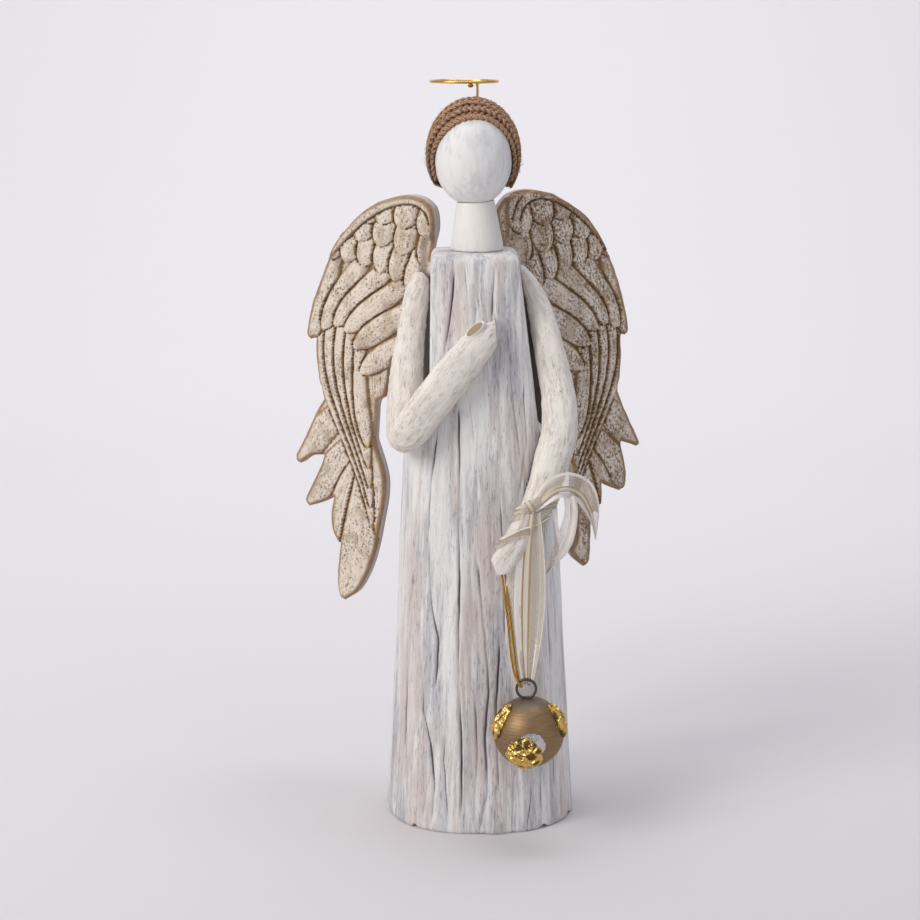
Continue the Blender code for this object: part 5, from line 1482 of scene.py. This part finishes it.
def ball_skin():
    """Return the ball: a sphere of latitude rings turned on a lathe, with faint tool lines and a
    small flat at its crown."""
    polar = np.linspace(0.0, math.pi, 112)[1:-1]
    turn = np.arange(150) * TURN / 150
    lines = 0.05 * np.sin(polar * 74.0) + 0.03 * np.sin(polar * 151.0)
    reach = BELL_RADIUS + lines - 0.5 * np.exp(-((polar / 0.16) ** 2))
    x = (reach * np.sin(polar))[:, None] * np.cos(turn)
    y = (reach * np.sin(polar))[:, None] * np.sin(turn)
    z = np.broadcast_to((reach * np.cos(polar))[:, None], x.shape)
    rings = BELL_CENTRE + np.stack([x, y, z], axis=-1)
    return closed_skin(rings, {"crown": (1.0 - polar / math.pi)[:, None] + 0.0 * x})


def leaf_skin(direction, spread, slim, seed, lift, crumple, least, pale):
    """Return a crumpled leaf of gold: a torn round patch on the ball, its front raised by folds
    that are the absolute value of a noise."""
    axis = unit(np.array(direction, dtype=float))
    across = unit(np.cross(axis, UP))
    upward = np.cross(across, axis)
    sides = 120
    turn = np.arange(sides) * TURN / sides
    circle = np.stack([np.cos(turn), np.sin(turn), 0.0 * turn], axis=-1)
    torn = 1.0 + 0.09 * ripple(circle, 1.0, seed) + 0.05 * ripple(circle, 0.35, seed + 1)
    share = np.concatenate([np.linspace(0.04, 1.0, 44), np.linspace(1.0, 0.04, 8)])
    is_front = np.arange(len(share)) < 44
    oval = slim / np.sqrt(np.cos(turn) ** 2 + (slim * np.sin(turn)) ** 2)
    polar = spread * share[:, None] * torn * oval
    way = np.cos(polar)[..., None] * axis
    way = way + (np.sin(polar) * np.cos(turn))[..., None] * across + (np.sin(polar) * np.sin(turn))[..., None] * upward
    flow = way * BELL_RADIUS * np.array([1.0, 1.0, slim])
    folds = 1.0 - np.abs(ripple(flow, 7.6, seed + 2)) * 1.6
    folds = folds + 0.55 * (1.0 - np.abs(ripple(flow, 4.0, seed + 3)) * 1.7)
    edge = 0.75 - 0.6 * smooth_step((share[:, None] - 0.76) / 0.24)
    height = lift + crumple * np.clip(folds, -0.3, 1.5) * edge
    reach = np.where(is_front[:, None], BELL_RADIUS + np.maximum(height, least), BELL_RADIUS + 0.12)
    rings = BELL_CENTRE + way * reach[..., None]
    return closed_skin(rings, {"pale": pale, "folds": np.clip(folds, 0.0, 1.0)})


def bronze_paint(settings):
    """The ball's finish: bronze paint in fine turned rings, greyer on its crown."""
    paint = Finish("bronze_ball", 0.42, 0.75)
    rings = paint.noise(0.00045, paint.place((0.06, 0.06, 1.0)), 4.0, 0.7, 0.2)
    patches = paint.noise(0.009, paint.place(), 3.0)
    base = paint.mix(paint.step(rings, 0.35, 0.68) * 0.55, settings.bronze[:], tuple(0.45 * c for c in settings.bronze))
    crown = paint.step(paint.mark("crown") + patches * 0.12 - 0.06, 0.74, 0.86)
    base = paint.mix(crown * 0.9, base, settings.cap[:])
    paint.set("Base Color", base)
    paint.set("Roughness", 0.36 + rings * 0.25)
    paint.set("Normal", paint.bump(rings, 0.00018, 0.5))
    return paint


def gold_leaf(settings):
    """The leaf's finish: bright gold foil, darker in its low folds and creases as painted shade; a pale mark turns it
    to silver.
    """
    leaf = Finish("gold_leaf", 0.28, 1.0)
    creases = leaf.noise(0.0042, leaf.place(), 3.0, 0.5, 1.2)
    fine = leaf.noise(0.0009, leaf.place(), 3.0)
    # Painted shade: the foil goes dark where its folds are low and in its creases.
    dark = tuple(0.22 * c for c in settings.leaf)
    raised = leaf.step(leaf.mark("folds") * 0.7 + creases * 0.5, 0.36, 0.80)
    base = leaf.mix(raised, dark, settings.leaf[:])
    base = leaf.mix(leaf.mark("pale"), base, tint(206, 200, 204))
    leaf.set("Base Color", base)
    leaf.set("Roughness", 0.16 + fine * 0.20)
    leaf.set("Normal", leaf.bump(creases, 0.0016, 0.7))
    return leaf


# The ribbon and the cord


def cord_route():
    """Return the gold cord's route: down from the hand, round the ring's wire, and back up."""
    side = math.cos(CORD_RING_ANGLE)
    rise = math.sin(CORD_RING_ANGLE)
    wire = RING_CENTRE + np.array([-side * RING_RADIUS, 0.0, rise * RING_RADIUS])
    down = WRIST + np.array(CORD_FALL)
    down = np.vstack([down[0] + np.array([-1.2, 0.3, 4.6]), down])
    strand = np.array([CORD_SPREAD, 0.0, 0.0])
    clear = RING_WIRE + CORD_RADIUS + 2.0 * GAP
    front = wire + np.array([0.5, -clear - 0.6, 0.8])
    inside = wire + np.array([side * clear + 0.2, -0.5 * clear, -rise * clear - 0.3])
    mirror = np.array([1.0, -1.0, 1.0])
    turn = [front, inside, RING_CENTRE + (inside - RING_CENTRE) * mirror, RING_CENTRE + (front - RING_CENTRE) * mirror]
    rows = list(down - strand) + turn + list((down + strand)[::-1])
    return smooth_rows(rows, np.linspace(0.0, 1.0, 300))


def cord_skin(path):
    """Return the cord: a round section with three low lobes that turn round the path, which
    makes its twist."""
    along = lengths(path)
    sides = 14
    turn = np.arange(sides) * TURN / sides
    swirl = TURN * along / 3.4
    size = CORD_RADIUS * (0.93 + 0.09 * np.cos(3.0 * (turn[None, :] - swirl[:, None])))
    way = unit(np.gradient(path, axis=0))
    across = unit(np.cross(way, np.array([0.3, 1.0, 0.2])))
    outward = np.cross(across, way)
    rings = path[:, None, :] + across[:, None, :] * (size * np.cos(turn))[..., None]
    rings = rings + outward[:, None, :] * (size * np.sin(turn))[..., None]
    lobe = 0.5 + 0.5 * np.cos(3.0 * (turn[None, :] - swirl[:, None]))
    return closed_skin(rings, {"lobe": lobe})


def gold_thread(settings):
    """The cord's finish: gold thread, with painted shade between its twisted lobes."""
    thread = Finish("gold_cord", 0.36, 0.7)
    lobe = thread.mark("lobe")
    fine = thread.noise(0.0005, thread.place(), 3.0)
    # Painted shade: the thread is darkened between its twisted lobes.
    dark = tuple(0.30 * c for c in settings.cord)
    base = thread.mix(thread.step(lobe + fine * 0.5 - 0.25, 0.05, 0.75), dark, settings.cord[:])
    thread.set("Base Color", base)
    thread.set("Normal", thread.bump(fine, 0.0002, 0.5))
    return thread


def strip(rows, folds, seed, shift=0.0, bands=(), stations=90, columns=33):
    """Return a ribbon strip: a grid along a smooth path and across its width, gathered by cosine
    folds that flatten where the strip is widest.

    shift moves the gold threads across it, and bands are the shares of its width between which
    it is satin."""
    rows = smooth_rows(rows, np.linspace(0.0, 1.0, stations))
    path = WRIST + rows[:, :3]
    half = rows[:, 3]
    along = unit(np.gradient(path, axis=0))
    across = unit(np.cross(along, FRONT))
    outward = np.cross(across, along)
    v = np.linspace(-1.0, 1.0, columns)
    grid = path[:, None, :] + across[:, None, :] * (half[:, None] * v)[..., None]
    depth = folds * (1.0 - 0.6 * half / half.max())
    wave = np.cos(2.5 * math.pi * v + 0.6 * seed)[None, :] * depth[:, None]
    wave = wave + 0.35 * ripple(grid, 14.0, seed)
    satin = np.exp(-(((np.abs(v) - 1.0) / 0.06) ** 2))
    for low, high in bands:
        satin = np.maximum(satin, (v >= low) & (v <= high))
    return open_sheet(grid + outward[:, None, :] * wave[..., None], {"across": v - shift, "satin": satin})


def wrap_skin(place, tilt, half, grow, seed):
    """Return one turn of ribbon round the wrist: the arm's own surface, grown, between two
    slanting lines, with gathers across it."""
    rings = right_arm_rings(1.0, 220, 96)
    heights = rings[..., 2].mean(axis=1)
    order = np.argsort(heights)
    turn = np.arange(97) * TURN / 96
    v = np.linspace(-1.0, 1.0, 21)
    wanted = place + tilt * np.cos(turn)[:, None] + half * v[None, :]
    columns = np.arange(97) % 96
    grid = np.empty((97, 21, 3))
    middle = rings.mean(axis=1)
    for axis in range(3):
        ring_axis = rings[order][:, :, axis]
        spot = np.interp(wanted, heights[order], np.arange(len(order)))
        low = np.clip(spot.astype(int), 0, len(order) - 2)
        share = spot - low
        columns_grid = np.broadcast_to(columns[:, None], low.shape)
        grid[..., axis] = ring_axis[low, columns_grid] * (1.0 - share) + ring_axis[low + 1, columns_grid] * share
    centre = np.stack([np.interp(wanted, heights[order], middle[order][:, n]) for n in range(3)], axis=-1)
    away = unit(grid - centre)
    gather = np.abs(np.cos(2.0 * math.pi * v + 0.8 * np.sin(turn)[:, None] + seed))
    lift = grow - 1.0 + 0.9 * gather + 0.35 * ripple(grid, 9.0, seed)
    satin = np.exp(-(((v - 0.75) / 0.22) ** 2))
    return open_sheet(grid + away * lift[..., None], {"across": v, "satin": satin})


def knot_skin():
    """Return the knot: a short bulging turn of ribbon, gathered across, drawn in at both ends."""
    turn = np.arange(61) * TURN / 60
    v = np.linspace(-1.0, 1.0, 25)
    centre = WRIST + np.array([-2.4, -11.2, 4.5])
    way = unit(np.array([0.86, 0.1, 0.48]))
    side = unit(np.cross(way, FRONT))
    out = np.cross(side, way)
    bulge = 1.0 - 0.35 * v**2
    gather = 1.0 + 0.09 * np.cos(5.0 * math.pi * v)
    radius = bulge * gather
    grid = centre + way * (7.0 * v)[None, :, None]
    grid = grid + side * (3.9 * radius[None, :] * np.cos(turn)[:, None])[..., None]
    grid = grid + out * (2.8 * radius[None, :] * np.sin(turn)[:, None])[..., None]
    return open_sheet(grid, {"across": v + 0.2, "satin": 0.0})


def drop_skins():
    """Return the ribbon's double fall from the wrist to the bell's ring: two layers that narrow
    and gather as they go down."""
    inside = RING_CENTRE[2] + RING_RADIUS - RING_WIRE - 1.4
    rows = (
        (31.0, -67.5, 212.0, 5.0),
        (29.8, -69.0, 202.0, 7.4),
        (28.2, -68.0, 182.0, 11.0),
        (27.4, -67.5, 158.0, 12.4),
        (27.2, -69.6, 135.0, 10.6),
        (27.4, -71.8, 118.0, 7.6),
        (28.0, -73.2, 106.0, 4.4),
        (28.0, -74.0, inside, 2.6),
    )
    skins = []
    for layer, (forward, squeeze, shift) in enumerate(((0.6, 1.0, 0.0), (-0.9, 0.86, 0.9))):
        full = []
        for x, y, z, half in rows:
            share = (rows[0][2] - z) / (rows[0][2] - inside)
            place = np.array([x + shift * (1.0 - share), y - forward * (1.0 - share), z]) - WRIST
            full.append((*place, half * squeeze))
        band = (0.24, 0.56) if layer == 0 else (-0.84, -0.74)
        skins.append(strip(full, 1.1 - 0.3 * layer, 3 + layer, 0.0, (band,), 110, 51))
    return skins


def sheer_ribbon(settings):
    """The ribbon's finish: thin see-through cloth with fine ribs, satin bands and gold threads."""
    cloth = Finish("sheer_ribbon", 0.45)
    across = cloth.mark("across")
    satin = cloth.step(cloth.mark("satin"), 0.30, 0.70)
    from_thread = (across.math("ABSOLUTE") - 0.17).math("ABSOLUTE")
    gold = 1.0 - cloth.step(from_thread, 0.030, 0.060)
    between = 1.0 - cloth.step(across.math("ABSOLUTE"), 0.14, 0.18)
    ribs = (across * 46.0).math("SINE") * 0.5 + 0.5
    weave = cloth.noise(0.0006, cloth.place(), 2.0)
    base = cloth.mix(between * 0.6, settings.sheer[:], settings.satin[:])
    base = cloth.mix(ribs * (1.0 - satin) * 0.16, base, settings.gold[:])
    base = cloth.mix(satin, base, settings.satin[:])
    base = cloth.mix(gold * 0.9, base, settings.gold[:])
    cloth.set("Base Color", base)
    cloth.set("Metallic", gold * 0.5)
    cloth.set("Roughness", 0.50 - satin * 0.20)
    cover = satin.math("MAXIMUM", gold * 0.9).math("MAXIMUM", between * 0.5)
    cloth.set("Alpha", 0.34 + cover * 0.60 + (weave - 0.5) * 0.2)
    cloth.set("Normal", cloth.bump(weave * 0.6 + ribs * 0.4, 0.0001, 0.35))
    return cloth


def sheet_area(skins):
    """Return the area of open sheets in square millimetres: half the cross products of their
    quads' diagonals."""
    total = 0.0
    for skin in skins:
        a, b, c, d = (skin["points"][skin["quads"][:, n]] for n in range(4))
        total += 0.5 * np.linalg.norm(np.cross(c - a, d - b), axis=1).sum()
    return total


# Operators


class MakeStage(bpy.types.Operator):
    """Make the pale floor, the soft lights and the camera"""

    bl_idname = "statue.make_stage"
    bl_label = "Stage"

    def execute(self, context):
        settings = context.scene.statue_stage
        camera_data = bpy.data.cameras.new("camera")
        camera_data.lens = 89.248
        camera_data.sensor_width = 36.0
        camera_data.clip_end = 20.0
        camera = bpy.data.objects.new("camera", camera_data)
        camera.location = (-0.013247, -1.44, 0.51)
        camera.rotation_euler = (math.radians(90.0 - 10.95), 0.0, 0.0)
        context.scene.collection.objects.link(camera)
        context.scene.camera = camera
        profile = np.linspace(0.0, 0.5 * math.pi, 24)
        y = np.concatenate([[-6.0, 1.2], 1.2 + 0.9 * np.sin(profile[1:]), [2.1]])
        z = np.concatenate([[0.0, 0.0], 0.9 * (1.0 - np.cos(profile[1:])), [5.0]])
        x = np.array([-6.0, 6.0])
        grid = np.stack(np.broadcast_arrays(x[None, :], y[:, None], z[:, None]), axis=-1) / MM
        sheet = open_sheet(grid)
        backdrop = Finish("backdrop", 0.9)
        # Painted shade: the floor is darker towards the front and fades to the wall's colour.
        depth = backdrop.node("ShaderNodeSeparateXYZ", None, {"Vector": backdrop.place()}, 1)
        share = backdrop.step(depth + backdrop.noise(0.6, backdrop.place(), 2.0) * 0.1, -0.3, 1.6)
        backdrop.set("Base Color", backdrop.mix(share, settings.floor[:], settings.backdrop[:]))
        mesh = bpy.data.meshes.new("backdrop")
        mesh.from_pydata((sheet["points"] * MM).tolist(), [], sheet["quads"].tolist())
        mesh.shade_smooth()
        mesh.materials.append(backdrop.material)
        floor = bpy.data.objects.new("backdrop", mesh)
        context.scene.collection.objects.link(floor)
        world = bpy.data.worlds.new("even_light")
        world.use_nodes = True
        sky = world.node_tree.nodes["Background"]
        sky.inputs["Color"].default_value = (*tint(238, 240, 246), 1.0)
        sky.inputs["Strength"].default_value = settings.world
        context.scene.world = world
        context.scene.view_settings.view_transform = "Standard"
        middle = (0.0, 0.0, 0.22)
        warm = tint(255, 250, 244)
        cool = tint(244, 246, 255)
        self.light(context, "key_light", (-1.25, -1.05, 1.25), middle, 0.9, settings.key, warm)
        self.light(context, "fill_light", (1.3, -1.2, 0.9), middle, 1.3, settings.fill, cool)
        self.light(context, "top_light", (0.1, 0.3, 1.8), middle, 1.2, settings.fill, cool)
        self.light(context, "wall_light", (0.0, 0.5, 2.4), (0.0, 2.1, 0.9), 1.6, settings.wall, cool)
        return {"FINISHED"}

    @staticmethod
    def light(context, name, place, target, size, power, shade):
        """Add a square area light that faces its target."""
        data = bpy.data.lights.new(name, "AREA")
        data.size = size
        data.energy = power
        data.color = shade
        made = bpy.data.objects.new(name, data)
        made.location = place
        way = Vector(target) - Vector(place)
        made.rotation_euler = way.to_track_quat("-Z", "Y").to_euler()
        context.scene.collection.objects.link(made)


class MakeCord(bpy.types.Operator):
    """Make the gold cord that loops from the hand through the bell's ring"""

    bl_idname = "statue.make_cord"
    bl_label = "Gold cord"

    def execute(self, context):
        path = cord_route()
        finish = gold_thread(context.scene.statue_metal)
        cord = make_piece("cord", [cord_skin(path)], [finish], ("gold_cord",))
        tuple(path[0] * MM)
        (path * MM).tolist()
        return {"FINISHED"}


class MakeRobe(bpy.types.Operator):
    """Make the robe's hewn and whitewashed log"""

    bl_idname = "statue.make_robe"
    bl_label = "Robe"

    def execute(self, context):
        settings = context.scene.statue_wood
        finish = whitewashed_wood(settings)
        make_piece("robe_log", [robe_skin(settings)], [finish], ("robe",), 62.0)
        return {"FINISHED"}


class MakeHead(bpy.types.Operator):
    """Make the blank painted head and the neck"""

    bl_idname = "statue.make_head"
    bl_label = "Head and neck"

    def execute(self, context):
        finish = white_paint(context.scene.statue_wood)
        make_piece("painted_head", [head_skin()], [finish], ("head",))
        make_piece("painted_neck", [neck_skin()], [finish], ("neck",))
        return {"FINISHED"}


class MakeHair(bpy.types.Operator):
    """Make the braided jute hair"""

    bl_idname = "statue.make_hair"
    bl_label = "Hair"

    def execute(self, context):
        settings = context.scene.statue_hair
        make_piece("jute_hair", hair_skins(settings), [jute_braid(settings)], ("hair",))
        return {"FINISHED"}


class MakeHalo(bpy.types.Operator):
    """Make the wire halo"""

    bl_idname = "statue.make_halo"
    bl_label = "Halo"

    def execute(self, context):
        settings = context.scene.statue_metal
        bright = gold_wire("gold_wire", settings.gold[:], 0.24)
        solder = gold_wire("solder", tint(186, 120, 78), 0.45)
        make_piece("wire_halo", halo_skins(), [bright, solder], ("halo",), 50.0, (0, 0, 1))
        return {"FINISHED"}


class MakeArms(bpy.types.Operator):
    """Make the two carved arms"""

    bl_idname = "statue.make_arms"
    bl_label = "Arms"

    def execute(self, context):
        finish = cream_wood(context.scene.statue_wood)
        left = left_arm_skins() + [thumb_skin()]
        make_piece("bent_arm", left, [finish], ("arm_left",))
        right = carved(right_arm_rings(0.0, 240, 84), 57, 0.4)
        right = closed_skin(right, grain_marks(right, 3))
        make_piece("hanging_arm", [right], [finish], ("arm_right",))
        return {"FINISHED"}


class MakeWings(bpy.types.Operator):
    """Make the two carved and gilded wings"""

    bl_idname = "statue.make_wings"
    bl_label = "Wings"

    def execute(self, context):
        settings = context.scene.statue_wing
        light = gilded_wood("gilded_wood_left", settings, 1.20)
        brown = gilded_wood("gilded_wood_right", settings, 0.93)
        make_piece("feathered_wing_left", [wing_skin(-1.0)], [light], ("wing_left",), 40.0)
        make_piece("feathered_wing_right", [wing_skin(1.0)], [brown], ("wing_right",), 40.0)
        return {"FINISHED"}


class MakeBell(bpy.types.Operator):
    """Make the ball bell, its ring and its leaf of gold"""

    bl_idname = "statue.make_bell"
    bl_label = "Bell"

    def execute(self, context):
        settings = context.scene.statue_metal
        make_piece("turned_ball", [ball_skin()], [bronze_paint(settings)], ("bell",))
        ring = ring_skin(RING_CENTRE, RING_RADIUS, RING_WIRE, True, 96, 12, 71, 0.04)
        make_piece("wire_ring", [ring], [gold_wire("dark_wire", settings.wire[:], 0.38)], ("bell_ring",))
        finish = gold_leaf(settings)
        front = [
            leaf_skin((-0.15, -0.87, -0.45), 0.57, 0.92, 81, 0.9, 2.0, 0.8, 0.0),
            leaf_skin((0.06, -0.97, -0.14), 0.39, 1.0, 85, 0.4, 0.15, 0.35, 1.0),
        ]
        make_piece("leaf_front", front, [finish], ("gold_leaf_front",))
        left = leaf_skin((-0.84, -0.34, 0.42), 0.54, 0.55, 91, 0.9, 2.2, 0.4, 0.0)
        make_piece("leaf_left", [left], [finish], ("gold_leaf_left",))
        right = leaf_skin((0.86, -0.26, 0.44), 0.54, 0.5, 95, 0.9, 2.2, 0.4, 0.0)
        make_piece("leaf_right", [right], [finish], ("gold_leaf_right",))
        return {"FINISHED"}


class MakeRibbon(bpy.types.Operator):
    """Make the sheer ribbon: wraps, knot, tails and the double fall"""

    bl_idname = "statue.make_ribbon"
    bl_label = "Ribbon"

    def execute(self, context):
        settings = context.scene.statue_ribbon
        skins = [
            wrap_skin(210.5, -7.0, 4.4, 0.9, 2),
            wrap_skin(197.5, -11.0, 3.2, 0.8, 4),
            knot_skin(),
            strip(LONG_TAIL, 0.9, 7, 0.30, ((0.66, 1.0), (-1.0, -0.8))),
            strip(SHORT_TAIL, 0.7, 9, -1.6, ((-1.0, 0.0),)),
            strip(LOOP_EDGE, 0.2, 11, 1.6, ((-1.0, 1.0),)),
            *drop_skins(),
        ]
        made = make_piece("sheer_ribbon", skins, [sheer_ribbon(settings)], ("ribbon",))
        cloth = made.modifiers.new("thickness", "SOLIDIFY")
        cloth.thickness = 0.00012
        cloth.offset = 0.0
        flat = sheet_area(skins) * MM * MM / settings.width
        return {"FINISHED"}


STEPS = (MakeStage, MakeCord, MakeRobe, MakeHead, MakeHair, MakeHalo, MakeArms, MakeWings, MakeBell, MakeRibbon)
SETTINGS = {
    "statue_wood": WoodSettings,
    "statue_wing": WingSettings,
    "statue_hair": HairSettings,
    "statue_metal": MetalSettings,
    "statue_ribbon": RibbonSettings,
    "statue_stage": StageSettings,
}


class StatuePanel(bpy.types.Panel):
    """The statue's steps and settings"""

    bl_idname = "VIEW3D_PT_statue"
    bl_label = "Wooden angel statue"
    bl_space_type = "VIEW_3D"
    bl_region_type = "UI"
    bl_category = "Statue"

    def draw(self, context):
        layout = self.layout
        for step in STEPS:
            layout.operator(step.bl_idname)
        for name, group in SETTINGS.items():
            box = layout.box()
            box.label(text=group.__name__.replace("Settings", ""))
            for key in group.__annotations__:
                box.prop(getattr(context.scene, name), key)


def register():
    for group in SETTINGS.values():
        bpy.utils.register_class(group)
    for name, group in SETTINGS.items():
        setattr(bpy.types.Scene, name, PointerProperty(type=group))
    for step in STEPS:
        bpy.utils.register_class(step)
    bpy.utils.register_class(StatuePanel)


def unregister():
    bpy.utils.unregister_class(StatuePanel)
    for step in reversed(STEPS):
        bpy.utils.unregister_class(step)
    for name in SETTINGS:
        delattr(bpy.types.Scene, name)
    for group in reversed(SETTINGS.values()):
        bpy.utils.unregister_class(group)


def main():
    register()
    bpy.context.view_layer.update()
    bpy.ops.statue.make_stage()
    bpy.ops.statue.make_cord()
    bpy.ops.statue.make_robe()
    bpy.ops.statue.make_head()
    bpy.ops.statue.make_hair()
    bpy.ops.statue.make_halo()
    bpy.ops.statue.make_arms()
    bpy.ops.statue.make_wings()
    bpy.ops.statue.make_bell()
    bpy.ops.statue.make_ribbon()


if __name__ == "__main__":
    main()
